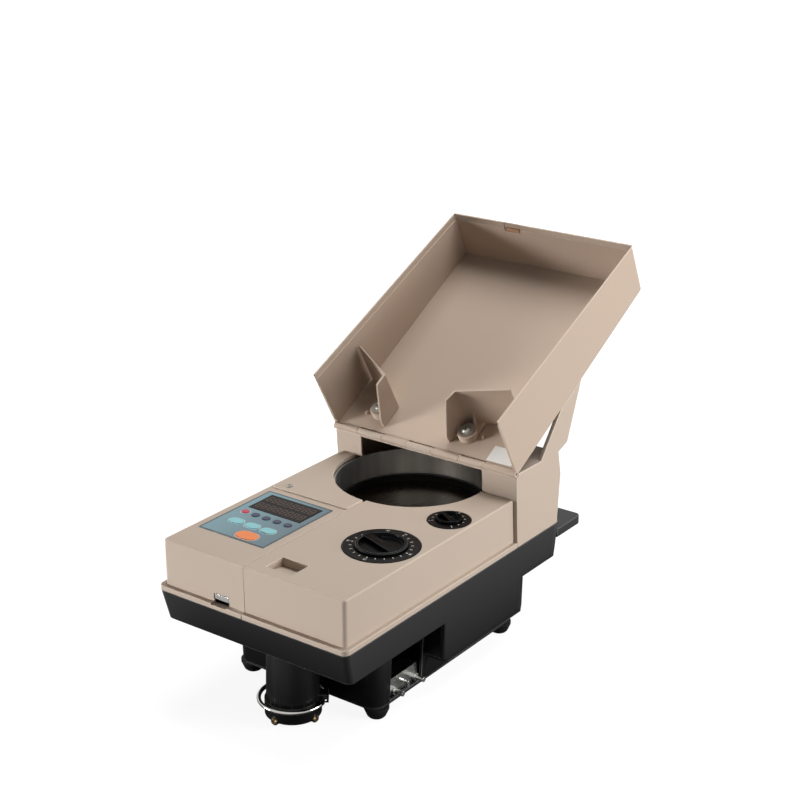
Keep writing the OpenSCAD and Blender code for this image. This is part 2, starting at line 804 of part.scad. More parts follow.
module motor_pulley() color("#2d2f33") placed() {
    translate([motor_c.x, motor_c.y, pulley_top - pulley_h]) {
        pulley(motor_pulley_r, pulley_h, motor_axle_r - eps);
    }
    disc(motor_c, motor_axle_r, bracket_z - bracket_t - 5, pulley_top);
}

module drive_belt() color("#141416") placed() {
    side = turn_gap;
    rim = 1.5 + side;
    translate([0, 0, pulley_top - pulley_h + rim]) linear_extrude(pulley_h - 2 * rim) difference() {
        polygon(belt_outline(bowl_c, disc_pulley_r + side + belt_t, motor_c, motor_pulley_r + side + belt_t));
        polygon(belt_outline(bowl_c, disc_pulley_r + side, motor_c, motor_pulley_r + side));
    }
}

module motor_bracket() color(steel) placed() {
    half = motor_d / 2 + 3;
    post_r = 4;
    difference() {
        slab(motor_c.x - half, motor_c.x + half, motor_c.y - half, motor_c.y + half,
            bracket_z - bracket_t, bracket_z, 6);
        disc(motor_c, 8, bracket_z - bracket_t - 1, bracket_z + 1);
    }
    for (x = [-1, 1], y = [-1, 1]) {
        disc(motor_c + (half - post_r - 1) * [x, y], post_r, bracket_z - eps, deck_low);
    }
}

module motor() color("#5b5e63") placed() {
    end = bracket_z - bracket_t;
    cap_h = 7;
    difference() {
        union() {
            disc(motor_c, motor_d / 2, end - motor_len + cap_h, end - cap_h);
            disc(motor_c, motor_d / 2 - 2, end - motor_len, end);
        }
        disc(motor_c, motor_axle_r + run_gap, end - 6, end + 1);
    }
}

module coin_bed() color(steel) placed() {
    bed_front = belt_front_y + 1;
    bed_rear = bowl_c.y - ring_r - ring_t - 1.5;
    bed_low = coin_z - 3.5;
    bed_top = coin_z - 0.5;
    rail_h = 4;
    block(bed_left, bed_right, bed_front, bed_rear, bed_low, bed_top);
    block(bed_left, bed_left + 5, bed_front, bed_rear, bed_top - eps, bed_top + rail_h);
    leg_t = 4;
    leg_len = 12;
    for (x = [bed_left, bed_right - leg_t], y = [bed_front, bed_rear - leg_len]) {
        block(x, x + leg_t, y, y + leg_len, deck_top, bed_low + eps);
    }
}

module guide_rail() color(steel) placed() {
    rail_low = coin_z;
    rail_top = coin_z + 4;
    arm_w = 10;
    arm_top = rail_top + 3;
    pin_x = rail_mid_x + rail_arm;
    block(rail_mid_x - rail_t / 2, rail_mid_x + rail_t / 2, belt_front_y + 5, belt_rear_y + 5,
        rail_low, rail_top);
    block(rail_mid_x - rail_t / 2, pin_x + 4, large_c.y - arm_w / 2, large_c.y + arm_w / 2,
        rail_top - eps, arm_top);
    disc([pin_x, large_c.y], pin_r, arm_top - eps, cam_low + cam_t + 1);
}

// Point of the spiral slot at a turn from the guide rail's pin
function spiral(r, a) = (r + cam_slope * a) * [cos(180 + a), sin(180 + a)];

// Disc with a spiral slot that draws the guide rail in and out, on the large dial's spindle
module dial_cam() color(steel) placed() {
    reach = dial_range / 2 + slot_ease;
    steps = 56;
    angles = [for (i = [0:steps]) -reach + 2 * reach * i / steps];
    translate([large_c.x, large_c.y, 0]) {
        difference() {
            translate([0, 0, cam_low]) cylinder(r = cam_r, h = cam_t);
            translate([0, 0, cam_low - 1]) linear_extrude(cam_t + 2) {
                polygon(concat([for (a = angles) spiral(cam_mid_r + slot_half, a)],
                    [for (i = [0:steps]) spiral(cam_mid_r - slot_half, angles[steps - i])]));
            }
        }
        translate([0, 0, cam_low + eps]) cylinder(r = spindle_r, h = cover_h - cam_low);
    }
}

// Dished scale ring with a spindle bush, set in a cover's hole
module dial_scale(c, r, knob_r, bore) {
    floor_z = cover_h - 5;
    translate([c.x, c.y, 0]) rotate_extrude() {
        polygon([[bore + run_gap, floor_z - 8], [bore + 4, floor_z - 8], [bore + 4, floor_z - 2],
            [r + 2, floor_z - 2], [r + 2, cover_in - turn_gap], [r, cover_in - turn_gap], [r, cover_h - 0.6],
            [r - 0.8, cover_h + 0.2], [knob_r + 1, cover_h + 0.2], [knob_r + turn_gap, cover_h - 0.5],
            [knob_r + turn_gap, floor_z], [bore + run_gap, floor_z]]);
    }
}

module large_scale() color(black) placed() {
    dial_scale(large_c, large_scale_r, large_knob_r, spindle_r);
}

module small_scale() color(black) placed() {
    side = cover_x - cover_wall - turn_gap;
    difference() {
        dial_scale(small_c, small_scale_r, small_knob_r, gate_spindle_r);
        block(side, half_w, small_c.y - 2 * small_scale_r, small_c.y + 2 * small_scale_r, 0, cover_in);
    }
}

// Knob with a dished face and a grip bar across it
module dial_knob(c, r, bore, bar_w, bar_turn) {
    low = cover_h - 5 + turn_gap;
    top = cover_h + knob_rise;
    face = cover_h - 1;
    rim = r * 0.13;
    translate([c.x, c.y, 0]) {
        difference() {
            rotate_extrude() {
                polygon([[0, low], [r, low], [r, top - 1], [r - 1, top], [r - rim, top],
                    [r - rim - 1.5, face], [0, face]]);
            }
            translate([0, 0, low - 1]) cylinder(r = bore, h = cover_h - low);
        }
        intersection() {
            rotate([0, 0, bar_turn]) translate([-r, -bar_w / 2, face - eps]) {
                cube([2 * r, bar_w, top - 0.4 - face]);
            }
            translate([0, 0, face - 1]) cylinder(r = r - rim / 2, h = top);
        }
    }
}

module diameter_knob() color("#222224") placed() {
    difference() {
        dial_knob(large_c, large_knob_r, spindle_r, large_bar_w, large_bar_turn);
        disc(large_c, spindle_r, cover_h - 6, cover_h + eps);
    }
}

module thickness_knob() color("#222224") placed() {
    dial_knob(small_c, small_knob_r, gate_spindle_r - eps, small_bar_w, small_bar_turn);
    disc(small_c, gate_spindle_r, coin_z + 8, cover_h - 1);
}

module click_wheel() color("#b88d5d") placed() {
    groove = 1;
    translate([small_c.x, small_c.y, 0]) rotate_extrude() {
        polygon([[gate_spindle_r + run_gap, wheel_low], [wheel_r, wheel_low], [wheel_r, wheel_low + 1.5],
            [wheel_r - groove, wheel_low + 2.5], [wheel_r - groove, wheel_top - 1], [wheel_r, wheel_top],
            [gate_spindle_r + run_gap, wheel_top]]);
    }
}

module thickness_gate() color(steel) placed() {
    y0 = small_c.y - gate_half;
    y1 = small_c.y + gate_half;
    difference() {
        union() {
            block(gate_x, small_c.x, y0, y1, gate_z, gate_z + gate_t);
            disc(small_c, gate_half + 2, gate_z, gate_z + gate_t);
            block(gate_x, gate_x + 3, y0, y1, coin_z + 3, gate_z + eps);
        }
        disc(small_c, gate_spindle_r + gate_fit, gate_z - 1, gate_z + gate_t + 1);
        disc([gate_post_x, small_c.y], gate_spindle_r + gate_fit, gate_z - 1, gate_z + gate_t + 1);
    }
}

module belt_bracket() color(steel) placed() {
    plate_t = 2;
    plate_x = belt_x - belt_w / 2 - 3 - plate_t;
    top = belt_z + belt_pulley_r;
    foot_reach = 16;
    foot_inset = 12;
    foot_x = bed_left - foot_reach;
    block(plate_x, plate_x + plate_t, belt_front_y - 8, belt_rear_y + 8, belt_z - 5, top);
    foot_y0 = belt_front_y + foot_inset;
    foot_y1 = belt_rear_y - foot_inset;
    block(foot_x, plate_x + eps, foot_y0, foot_y1, top - plate_t, top);
    block(foot_x, foot_x + plate_t, foot_y0, foot_y1, deck_top, top);
    for (y = [belt_front_y, belt_rear_y]) {
        rod_x(plate_x, belt_x + belt_w / 2 + 1, y, belt_z, axle_r);
    }
}

module belt_pulley(y) {
    difference() {
        rod_x(belt_x - belt_w / 2, belt_x + belt_w / 2, y, belt_z, belt_pulley_r);
        rod_x(belt_x - belt_w, belt_x + belt_w, y, belt_z, axle_r + run_gap);
    }
}

module belt_pulley_front() color("#2d2f33") placed() {
    belt_pulley(belt_front_y);
}

module belt_pulley_rear() color("#2d2f33") placed() {
    belt_pulley(belt_rear_y);
}

module coin_belt() color("#141416") placed() {
    c0 = [belt_front_y, belt_z];
    c1 = [belt_rear_y, belt_z];
    r = belt_pulley_r + turn_gap;
    translate([belt_x, 0, 0]) across(belt_w - 1) difference() {
        polygon(belt_outline(c0, r + belt_t, c1, r + belt_t));
        polygon(belt_outline(c0, r, c1, r));
    }
}

module sensor_block() color("#303236") placed() {
    x1 = bed_left - 18;
    y0 = belt_front_y - 4;
    difference() {
        block(x1 - 16, x1, y0, y0 + 24, deck_top, coin_z + 8);
        block(x1 - 6, x1 + 1, y0 + 6, y0 + 18, coin_z - 2, coin_z + 4);
    }
}

module panel_overlay() color("#93a7b5") placed() {
    difference() {
        slab(panel_x0, panel_x0 + panel_w, panel_y0, panel_y0 + panel_len, panel_z0, panel_top, 1);
        block(display_x0 - key_gap, display_x0 + display_w + key_gap, display_y0 - key_gap,
            display_y0 + display_len + key_gap, panel_z0 - 1, panel_top + 1);
        translate([0, 0, panel_z0 - 1]) linear_extrude(panel_t + 2) {
            oval(red_key_c, small_key_w + 2 * key_gap, small_key_d + 2 * key_gap);
            for (i = [0:3]) {
                oval([navy_x0 + i * navy_step, navy_y], small_key_w + 2 * key_gap, small_key_d + 2 * key_gap);
            }
            for (i = [0:2]) {
                oval([cyan_x0 + i * cyan_step, cyan_y], cyan_key_w + 2 * key_gap, cyan_key_d + 2 * key_gap);
            }
            oval(orange_key_c, orange_key_w + 2 * key_gap, orange_key_d + 2 * key_gap);
        }
    }
}

module display_window() color("#17181c") placed() {
    block(display_x0, display_x0 + display_w, display_y0, display_y0 + display_len,
        panel_z0 - 1.2, panel_top + 0.2);
}

module display_module() color("#2b2c30") placed() {
    rim = 3;
    block(display_x0 + rim, display_x0 + display_w - rim, display_y0 + rim, display_y0 + display_len - rim,
        board_top, panel_z0 - 1.2 - turn_gap);
}

module control_board() color("#1f5b3a") placed() {
    half = 3;
    block(panel_x0 - 2, panel_x0 + panel_w + 2, panel_y0 - 2, panel_y0 + panel_len + 2,
        board_top - board_t, board_top);
    spots = concat([red_key_c, orange_key_c], [for (i = [0:3]) [navy_x0 + i * navy_step, navy_y]],
        [for (i = [0:2]) [cyan_x0 + i * cyan_step, cyan_y]]);
    for (c = spots) {
        block(c.x - half, c.x + half, c.y - half, c.y + half, board_top - eps, board_top + switch_h);
    }
}

// Key cap with a flange that holds it under the overlay
module key(c, w, d) {
    flange = 1.2;
    low = board_top + switch_h + key_travel + turn_gap;
    translate([0, 0, low]) linear_extrude(panel_top + key_rise - low) oval(c, w, d);
    translate([0, 0, panel_z0 - turn_gap - 1]) linear_extrude(1) oval(c, w + 2 * flange, d + 2 * flange);
}

module key_red() color("#b8323a") placed() {
    key(red_key_c, small_key_w, small_key_d);
}

module key_navy(i) color(navy) placed() {
    key([navy_x0 + i * navy_step, navy_y], small_key_w, small_key_d);
}

module key_cyan(i) color(cyan) placed() {
    key([cyan_x0 + i * cyan_step, cyan_y], cyan_key_w, cyan_key_d);
}

module key_orange() color("#e8862e") placed() {
    key(orange_key_c, orange_key_w, orange_key_d);
}

module transformer() color("#7a6a4a") placed() {
    core_w = 44;
    core_len = 52;
    core_h = 40;
    coil_over = 6;
    coil_inset = 9;
    coil_r = 4;
    side_gap = 18;
    front_gap = 60;
    x0 = side_gap - box_low_w / 2;
    y0 = front_gap - box_front;
    block(x0, x0 + core_w, y0, y0 + core_len, box_floor, box_floor + core_h);
    slab(x0 - coil_over, x0 + core_w + coil_over, y0 + coil_inset, y0 + core_len - coil_inset,
        box_floor, box_floor + core_h - coil_over, coil_r);
}

module coin_spout() color("#202022") placed() {
    collar_r = spout_top_r + 6;
    top = deck_low - gap;
    lug_half = 6;
    translate([spout_c.x, spout_c.y, 0]) {
        rotate_extrude() {
            polygon([[spout_bore_r, spout_low], [band_r - 1, spout_low], [band_r, spout_low + 1],
                [band_r, spout_low + band_h - 1], [spout_low_r, spout_low + band_h], [spout_top_r, -flange_h],
                [spout_top_r, flange_floor], [collar_r, flange_floor], [collar_r, flange_floor + 2],
                [spout_top_r, flange_floor + 2], [spout_top_r, top], [spout_bore_r, top]]);
        }
        for (i = [0:3]) {
            rotate([0, 0, rivet_turn + 90 * i]) translate([spout_low_r - 1, 0, rivet_z]) rotate([0, 90, 0]) {
                cylinder(r = rivet_boss_r, h = rivet_seat - spout_low_r + 1);
            }
        }
        rotate([0, 0, lug_dir]) difference() {
            block(spout_low_r - 1, wire_pin_x + wire_r + 1.5, -lug_half, lug_half, wire_z - 4, wire_z + 4);
            translate([wire_pin_x, 0, wire_z]) rotate([90, 0, 0]) {
                cylinder(r = wire_r + run_gap, h = 4 * lug_half, center = true);
            }
        }
    }
}

// Wire ring that holds the coin bag, its straight stretch turning in the spout's lug
module bag_ring() color("#b9bbbd") placed() {
    translate([spout_c.x, spout_c.y, wire_z]) rotate([0, 0, lug_dir]) {
        difference() {
            translate([-wire_shift, 0, 0]) rotate_extrude() translate([wire_ring_r, 0]) {
                circle(wire_r, $fn = 24);
            }
            block(wire_pin_x, wire_ring_r + 5, -wire_ring_r / 2, wire_ring_r / 2, -5, 5);
        }
        translate([wire_pin_x, 0, 0]) rotate([90, 0, 0]) {
            cylinder(r = wire_r, h = 2 * wire_pin_half, center = true);
        }
        for (s = [-1, 1]) {
            translate([wire_pin_x, s * wire_pin_half, 0]) sphere(wire_r, $fn = 24);
        }
    }
}

module spout_rivets() color("#b58a3c") placed() {
    head_r = 3.2;
    head_t = 1.4;
    for (i = [0:3]) {
        translate([spout_c.x, spout_c.y, rivet_z]) rotate([0, 0, rivet_turn + 90 * i]) {
            translate([rivet_seat, 0, 0]) rotate([0, 90, 0]) rotate_extrude() {
                polygon([[0, 0], [head_r, 0], [head_r - 0.6, head_t], [1.7, head_t], [1.5, head_t - 0.9],
                    [0, head_t - 0.9]]);
            }
        }
    }
}

module front_latch() color("#c3c4c6") placed() {
    half = catch_w / 2 - 0.6;
    face_top = latch_top - 0.6;
    face_low = face_top - 5;
    sheet = 1.4;
    face = cover_front + 0.3;
    leg = cover_front + cover_wall + 8;
    block(catch_x - half, catch_x + half, face, face + sheet, face_low, face_top);
    block(catch_x - half, catch_x + half, face, leg, face_top - sheet, face_top);
    block(catch_x - half, catch_x + half, leg - sheet, leg, deck_top, face_top);
}

module side_bracket() color("#a9abad") placed() {
    t = 2;
    outer = box_low_w / 2 - base_wall - 1;
    y0 = -window_front + 1;
    y1 = -window_front + window_len - 1;
    low = box_floor;
    top = -base_h + 21;
    stud_z = -base_h + 8;
    block(outer - t, outer, y0, y1, low, top);
    block(outer - 16, outer, y0, y1, top - t, top);
    block(outer - 16, outer, y0, y1, low, low + t);
    for (y = [y0 + 9, y1 - 5]) {
        rod_x(outer - t, outer + 12, y, stud_z, 2.6);
        rod_x(outer, outer + 3, y, stud_z, 3.8);
    }
    rod_x(outer - eps, outer + 6, (y0 + y1) / 2, stud_z + 4, 1.6);
    block(outer + 4.4, outer + 7.5, (y0 + y1) / 2 - 1.6, (y0 + y1) / 2 + 1.6, stud_z - 1, stud_z + 5.6);
}

module power_entry() color("#161618") placed() {
    lip = 2.5;
    face_t = 2;
    depth = 22;
    y1 = box_rear + face_t;
    difference() {
        union() {
            slab_face(entry_x - entry_w / 2 - lip, entry_x + entry_w / 2 + lip, box_rear, y1);
            block(entry_x - entry_w / 2 + gap, entry_x + entry_w / 2 - gap, box_rear - depth, box_rear + eps,
                entry_z - entry_h / 2 + gap, entry_z + entry_h / 2 - gap);
        }
        block(inlet_x - 12, inlet_x + 12, box_rear - depth + 4, y1 + 1, entry_z - 8, entry_z + 8);
        block(rocker_x - rocker_w / 2 - gap, rocker_x + rocker_w / 2 + gap, box_rear - 10, y1 + 1,
            entry_z - 9.6, entry_z + 9.6);
        rod_x(rocker_x - rocker_w / 2 - 2, rocker_x + rocker_w / 2 + 2, rocker_y, entry_z,
            rocker_pin_r + run_gap);
    }
    for (x = [-5, 0, 5]) {
        translate([inlet_x + x, box_rear - depth + 4 - eps, entry_z + (x == 0 ? 2.5 : -2.5)]) {
            rotate([-90, 0, 0]) cylinder(r = 1.4, h = 14);
        }
    }
}

module slab_face(x0, x1, y0, y1) {
    half = entry_h / 2 + 2.5;
    translate([0, y1, entry_z]) rotate([90, 0, 0]) linear_extrude(y1 - y0) {
        rounded_rect(x0, x1, -half, half, 3);
    }
}

// Rocker with two slanted faces, its pins in the power entry
module power_rocker() color("#b02a2a") placed() {
    half = 8.6;
    deep = 6.5;
    translate([rocker_x, rocker_y, entry_z]) {
        across(rocker_w) polygon([[-deep, -5], [1, -half], [5.6, -half], [3.4, 0], [5.6, half], [1, half],
            [-deep, 5]]);
        rod_x(-rocker_w / 2 - 1.5, rocker_w / 2 + 1.5, 0, 0, rocker_pin_r);
    }
}

module far_wall_frame() {
    translate([0, floor_len - tray_wall, 0]) rotate([-far_lean, 0, 0]) children();
}

module hopper_tray() color(beige) placed() at_floor() {
    rim_near = rim_point(riser_lean * rim_drop / hinge_rise - rim_gap);
    rim_far = rim_point(front);
    far_wall = [floor_len - tray_wall, floor_top];
    far_over = far_wall + 1.3 * (rim_far - [tray_wall, 0] - far_wall);
    slot_end = knuckle_cut + knuckle_gap;
    far_up = (rim_far - [tray_wall, 0] - far_wall) / (rim_far.y - floor_top);
    rim_slope = (rim_far.y - rim_near.y) / (rim_far.x - rim_near.x);
    ledge_near = [-20, rim_near.y - rim_step_h - rim_slope * (20 + rim_near.x)];
    ledge_far = rim_far - [tray_wall - rim_step, 0] - rim_step_h * far_up;
    step_far = rim_far - [tray_wall - rim_step, 0] + 5 * far_up;
    edges = [-half_w, for (k = knuckles) each [k[0] - knuckle_gap, k[1] + knuckle_gap], half_w];
    pin_up = 4;
    difference() {
        union() {
            difference() {
                intersection() {
                    across(machine_w) {
                        polygon([[rim_gap, -floor_top], [floor_len, -floor_top], rim_far, rim_near]);
                    }
                    far_wall_frame() {
                        slab(-half_w, half_w, -2 * body_len, tray_wall + 0.1, -body_len, body_len,
                            far_corner_r);
                    }
                }
                across(machine_w - 2 * tray_wall) {
                    polygon([[-20, floor_top], far_wall, far_over, [-20, rim_near.y + 20]]);
                }
                across(machine_w - 2 * (tray_wall - rim_step)) {
                    polygon([ledge_near, ledge_far, step_far, [-20, rim_near.y + 20]]);
                }
                for (k = knuckles) {
                    block(k[0] - knuckle_gap, k[1] + knuckle_gap, -slot_end, slot_end, -slot_end, slot_end);
                }
            }
            for (i = [0:2:len(edges) - 1]) {
                rod_x(edges[i], edges[i + 1], 0, 0, barrel_r);
            }
        }
        rod_x(-half_w - 1, half_w + 1, 0, 0, hinge_pin_r + run_gap);
        far_wall_frame() {
            block(catch_x - catch_w / 2 - 1, catch_x + catch_w / 2 + 1, -1, catch_recess,
                catch_low - 0.4, catch_low + 20);
        }
    }
    for (s = [-1, 1]) {
        disc(wing_c(s), wing_post_r, floor_top - eps, post_top);
        stop = wing_c(s) + 15.7 * [s * cos(9), s < 0 ? -0.3 : 0.15];
        disc(stop, pin_r + 0.3, floor_top - eps, floor_top + pin_up);
    }
}

// Screw and washer that hold each wing on its post
module wing_screws() color("#8f9092") placed() at_floor() {
    washer_r = 8;
    washer_t = 1.2;
    head_r = 4.6;
    for (s = [-1, 1]) {
        translate([wing_c(s).x, wing_c(s).y, post_top]) rotate_extrude() {
            polygon([[0, 0], [washer_r, 0], [washer_r, washer_t], [head_r, washer_t],
                [head_r, washer_t + 1.2],
                [head_r - 1.6, washer_t + 2.6], [0, washer_t + 2.8]]);
        }
    }
}

// Right-hand guide wing about its pivot, its long plate straight across
module wing() {
    fold = [wing_fold, wing_offset];
    web_t = 3;
    rib_t = 2;
    rib_h = 22;
    edge_h = 9;
    short_turn = 180 + wing_bend / 2;
    difference() {
        union() {
            block(fold.x, fold.x + wing_long, fold.y - wing_t, fold.y, 0, wing_h);
            translate([fold.x, fold.y, 0]) rotate([0, 0, short_turn]) rotate([90, 0, 0]) {
                translate([0, 0, -wing_t]) linear_extrude(wing_t) polygon([[0, 0], [wing_short - 1, 0],
                    [wing_short, edge_h], [wing_short_top, wing_h], [0, wing_h]]);
            }
            cylinder(r = wing_boss_r, h = wing_boss_h);
            linear_extrude(web_t) polygon([fold, fold + [20, 0], [wing_boss_r - 0.5, 0],
                [-wing_boss_r + 0.5, -3], fold + 20 * [cos(short_turn), sin(short_turn)]]);
            translate([wing_boss_r - 5, 0, 0]) rotate([90, 0, 90]) linear_extrude(rib_t) {
                polygon([[6, 0], [fold.y - eps, 0], [fold.y - eps, rib_h], [wing_boss_r - 0.8, wing_boss_h]]);
            }
            rotate([0, 0, wing_bend / 2 + 90]) translate([0, 1, 0]) rotate([90, 0, 0]) linear_extrude(rib_t) {
                polygon([[6, 0], [wing_short_gap, 0], [wing_short_gap, rib_h],
                    [wing_boss_r - 0.8, wing_boss_h]]);
            }
        }
        translate([0, 0, -1]) cylinder(r = wing_post_r + run_gap, h = wing_boss_h + 2);
    }
}

module guide_wing_right() color(beige) placed() at_floor() {
    translate([wing_c(1).x, wing_c(1).y, floor_top + wing_lift]) rotate([0, 0, wing_right_turn]) wing();
}

module guide_wing_left() color(beige) placed() at_floor() {
    translate([wing_c(-1).x, wing_c(-1).y, floor_top + wing_lift]) {
        mirror([1, 0, 0]) rotate([0, 0, wing_left_turn]) wing();
    }
}

// Sprung catch plate inside the tray's far wall
module tray_catch() color("#b88d5d") placed() at_floor() {
    back = catch_recess - turn_gap;
    far_wall_frame() {
        block(catch_x - catch_w / 2 + 1, catch_x + catch_w / 2 - 1, back - 1.2, back,
            catch_low, catch_low + 4.6);
    }
}

base_shell();
bottom_plate();
rubber_feet();
deck_plate();
left_cover();
right_cover();
bowl_plate();
cover_screw();
rear_housing();
hinge_pin();
bowl_base();
hopper_ring();
bearing_housing();
motor();
motor_bracket();
drive_belt();
coin_bed();
coin_belt();
belt_bracket();
sensor_block();
panel_overlay();
display_window();
display_module();
control_board();
large_scale();
small_scale();
transformer();
coin_spout();
spout_rivets();
front_latch();
side_bracket();
power_entry();
hopper_tray();
wing_screws();
tray_catch();
guide_wing_left();
guide_wing_right();
feed_disc();
disc_shaft();
disc_pulley();
motor_pulley();
belt_pulley_front();
belt_pulley_rear();
diameter_knob();
dial_cam();
guide_rail();
thickness_knob();
click_wheel();
thickness_gate();
key_red();
key_navy(0);  // key_navy_1
key_navy(1);  // key_navy_2
key_navy(2);  // key_navy_3
key_navy(3);  // key_navy_4
key_cyan(0);  // key_cyan_1
key_cyan(1);  // key_cyan_2
key_cyan(2);  // key_cyan_3
key_orange();
bag_ring();
power_rocker();
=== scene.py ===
"""Coin counting machine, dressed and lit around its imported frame."""

from __future__ import annotations

import json
import logging
import math
from collections.abc import Sequence
from dataclasses import dataclass
from enum import Enum

import bmesh
import bpy
from mathutils import Matrix, Vector

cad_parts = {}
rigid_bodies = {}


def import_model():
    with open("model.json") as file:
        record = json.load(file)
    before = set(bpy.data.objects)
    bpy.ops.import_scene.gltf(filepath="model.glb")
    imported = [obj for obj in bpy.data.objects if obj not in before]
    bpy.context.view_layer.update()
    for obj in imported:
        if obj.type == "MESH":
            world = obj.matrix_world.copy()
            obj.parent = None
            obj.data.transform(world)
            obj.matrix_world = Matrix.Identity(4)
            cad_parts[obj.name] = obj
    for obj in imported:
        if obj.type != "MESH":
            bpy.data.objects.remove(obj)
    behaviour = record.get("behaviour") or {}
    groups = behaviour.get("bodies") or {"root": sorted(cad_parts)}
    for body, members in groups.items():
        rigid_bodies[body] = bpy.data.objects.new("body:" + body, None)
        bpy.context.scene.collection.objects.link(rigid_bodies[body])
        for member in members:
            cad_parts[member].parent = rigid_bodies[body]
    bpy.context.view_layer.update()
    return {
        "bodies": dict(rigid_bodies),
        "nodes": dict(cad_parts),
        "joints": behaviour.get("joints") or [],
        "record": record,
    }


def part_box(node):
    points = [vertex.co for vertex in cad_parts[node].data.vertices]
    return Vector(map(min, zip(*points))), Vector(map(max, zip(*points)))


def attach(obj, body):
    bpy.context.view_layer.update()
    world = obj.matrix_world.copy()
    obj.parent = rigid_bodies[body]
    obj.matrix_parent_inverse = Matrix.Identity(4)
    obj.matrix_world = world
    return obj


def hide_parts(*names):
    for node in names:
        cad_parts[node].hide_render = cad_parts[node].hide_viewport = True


LOG = logging.getLogger("coin_counter")
MM = 0.001
MERGE_DISTANCE = 0.02 * MM
FLAT_ANGLE = math.radians(0.5)
SHARP_ANGLE = math.radians(38)
BEVEL_ANGLE = math.radians(34)
FACET_ANGLE = math.radians(14)
EDGE_MARK = "rounded_edge"
BESIDE_ROOM = 1.5
ACROSS_ROOM = 2.05
ROUND_TRIES = (1.0, 0.7, 0.45)
ROUND_SEGMENTS = 2
FLAT_FACE_WEIGHT = 90
GRAIN_DEPTH = 0.1 * MM
FILM_GRAIN = 400.0
LINE_SPAN = (0.3, 0.7)
UNIT_SPAN = (0.0, 1.0)
INK_SINK = 0.02 * MM

Outline = list[tuple[float, float]]


class KeyRim(Enum):
    """Rim printed on the film round a key."""

    NONE = "none"
    PALE = "pale"
    WARM = "warm"


# Colour and node helpers


def linear(code: str) -> tuple[float, float, float, float]:
    """Turn a hex colour into the linear values that shaders take.

    Args:
        code: Colour such as "#c4b197".

    Returns:
        Linear red, green and blue with an alpha of one.
    """
    parts = []
    for start in (1, 3, 5):
        value = int(code[start : start + 2], 16) / 255
        parts.append(value / 12.92 if value <= 0.04045 else ((value + 0.055) / 1.055) ** 2.4)
    return (parts[0], parts[1], parts[2], 1.0)


def add_node(tree: bpy.types.NodeTree, kind: str, **settings: object) -> bpy.types.Node:
    """Add a node and set its properties.

    Args:
        tree: Node tree that gets the node.
        kind: Blender's type name of the node.
        settings: Properties to set on it.

    Returns:
        The new node.
    """
    node = tree.nodes.new(kind)
    for key, value in settings.items():
        setattr(node, key, value)
    return node


def span_node(
    tree: bpy.types.NodeTree, source: tuple[float, float], target: tuple[float, float]
) -> bpy.types.Node:
    """Add a node that maps one span of values to another.

    Args:
        tree: Node tree that gets it.
        source: First and last value that come in.
        target: Values that go out at those two.

    Returns:
        The node.
    """
    node = add_node(tree, "ShaderNodeMapRange")
    for socket, value in zip(("From Min", "From Max", "To Min", "To Max"), (*source, *target)):
        node.inputs[socket].default_value = value
    return node


def shader_group(name: str, inputs: dict[str, str], outputs: dict[str, str]) -> bpy.types.NodeTree:
    """Start a shader node group with named sockets.

    Args:
        name: Name of the group.
        inputs: Socket types by input name.
        outputs: Socket types by output name.

    Returns:
        The group, holding only its input and output nodes.
    """
    group = bpy.data.node_groups.new(name, "ShaderNodeTree")
    for socket, kind in inputs.items():
        group.interface.new_socket(socket, in_out="INPUT", socket_type=kind)
    for socket, kind in outputs.items():
        group.interface.new_socket(socket, in_out="OUTPUT", socket_type=kind)
    add_node(group, "NodeGroupInput", name="in")
    add_node(group, "NodeGroupOutput", name="out")
    return group


def moulded_grain() -> bpy.types.NodeTree:
    """Build, once, the fine spark-eroded grain of moulded plastic.

    Returns:
        Group with a height for the bump and a shade that drifts slowly over the surface.
    """
    name = "moulded_grain"
    if name in bpy.data.node_groups:
        return bpy.data.node_groups[name]
    group = shader_group(
        name,
        {"Vector": "NodeSocketVector", "Scale": "NodeSocketFloat", "Drift": "NodeSocketFloat"},
        {"Height": "NodeSocketFloat", "Shade": "NodeSocketFloat"},
    )
    source, sink = group.nodes["in"], group.nodes["out"]
    fine = add_node(group, "ShaderNodeTexNoise")
    fine.inputs["Detail"].default_value = 3.0
    broad = add_node(group, "ShaderNodeTexNoise")
    broad.inputs["Scale"].default_value = 14.0
    broad.inputs["Detail"].default_value = 2.0
    span = add_node(group, "ShaderNodeMapRange")
    lowest = add_node(group, "ShaderNodeMath", operation="SUBTRACT")
    lowest.inputs[0].default_value = 1.0
    link = group.links.new
    link(source.outputs["Vector"], fine.inputs["Vector"])
    link(source.outputs["Scale"], fine.inputs["Scale"])
    link(source.outputs["Vector"], broad.inputs["Vector"])
    link(source.outputs["Drift"], lowest.inputs[1])
    link(broad.outputs["Fac"], span.inputs["Value"])
    link(lowest.outputs[0], span.inputs["To Min"])
    link(fine.outputs["Fac"], sink.inputs["Height"])
    link(span.outputs["Result"], sink.inputs["Shade"])
    return group


def drawn_lines() -> bpy.types.NodeTree:
    """Build, once, the lines that rolling or turning leaves on bare metal; stretched wide, as on the ring,
    the same mask makes broad bands of painted reflection.

    Returns:
        Group with one mask, from smooth to scratched.
    """
    name = "drawn_lines"
    if name in bpy.data.node_groups:
        return bpy.data.node_groups[name]
    group = shader_group(
        name,
        {"Vector": "NodeSocketVector", "Stretch": "NodeSocketVector"},
        {"Mask": "NodeSocketFloat"},
    )
    source, sink = group.nodes["in"], group.nodes["out"]
    stretch = add_node(group, "ShaderNodeVectorMath", operation="MULTIPLY")
    lines = add_node(group, "ShaderNodeTexNoise")
    lines.inputs["Scale"].default_value = 1.0
    lines.inputs["Detail"].default_value = 4.0
    link = group.links.new
    link(source.outputs["Vector"], stretch.inputs[0])
    link(source.outputs["Stretch"], stretch.inputs[1])
    link(stretch.outputs["Vector"], lines.inputs["Vector"])
    link(lines.outputs["Fac"], sink.inputs["Mask"])
    return group


# Finishes


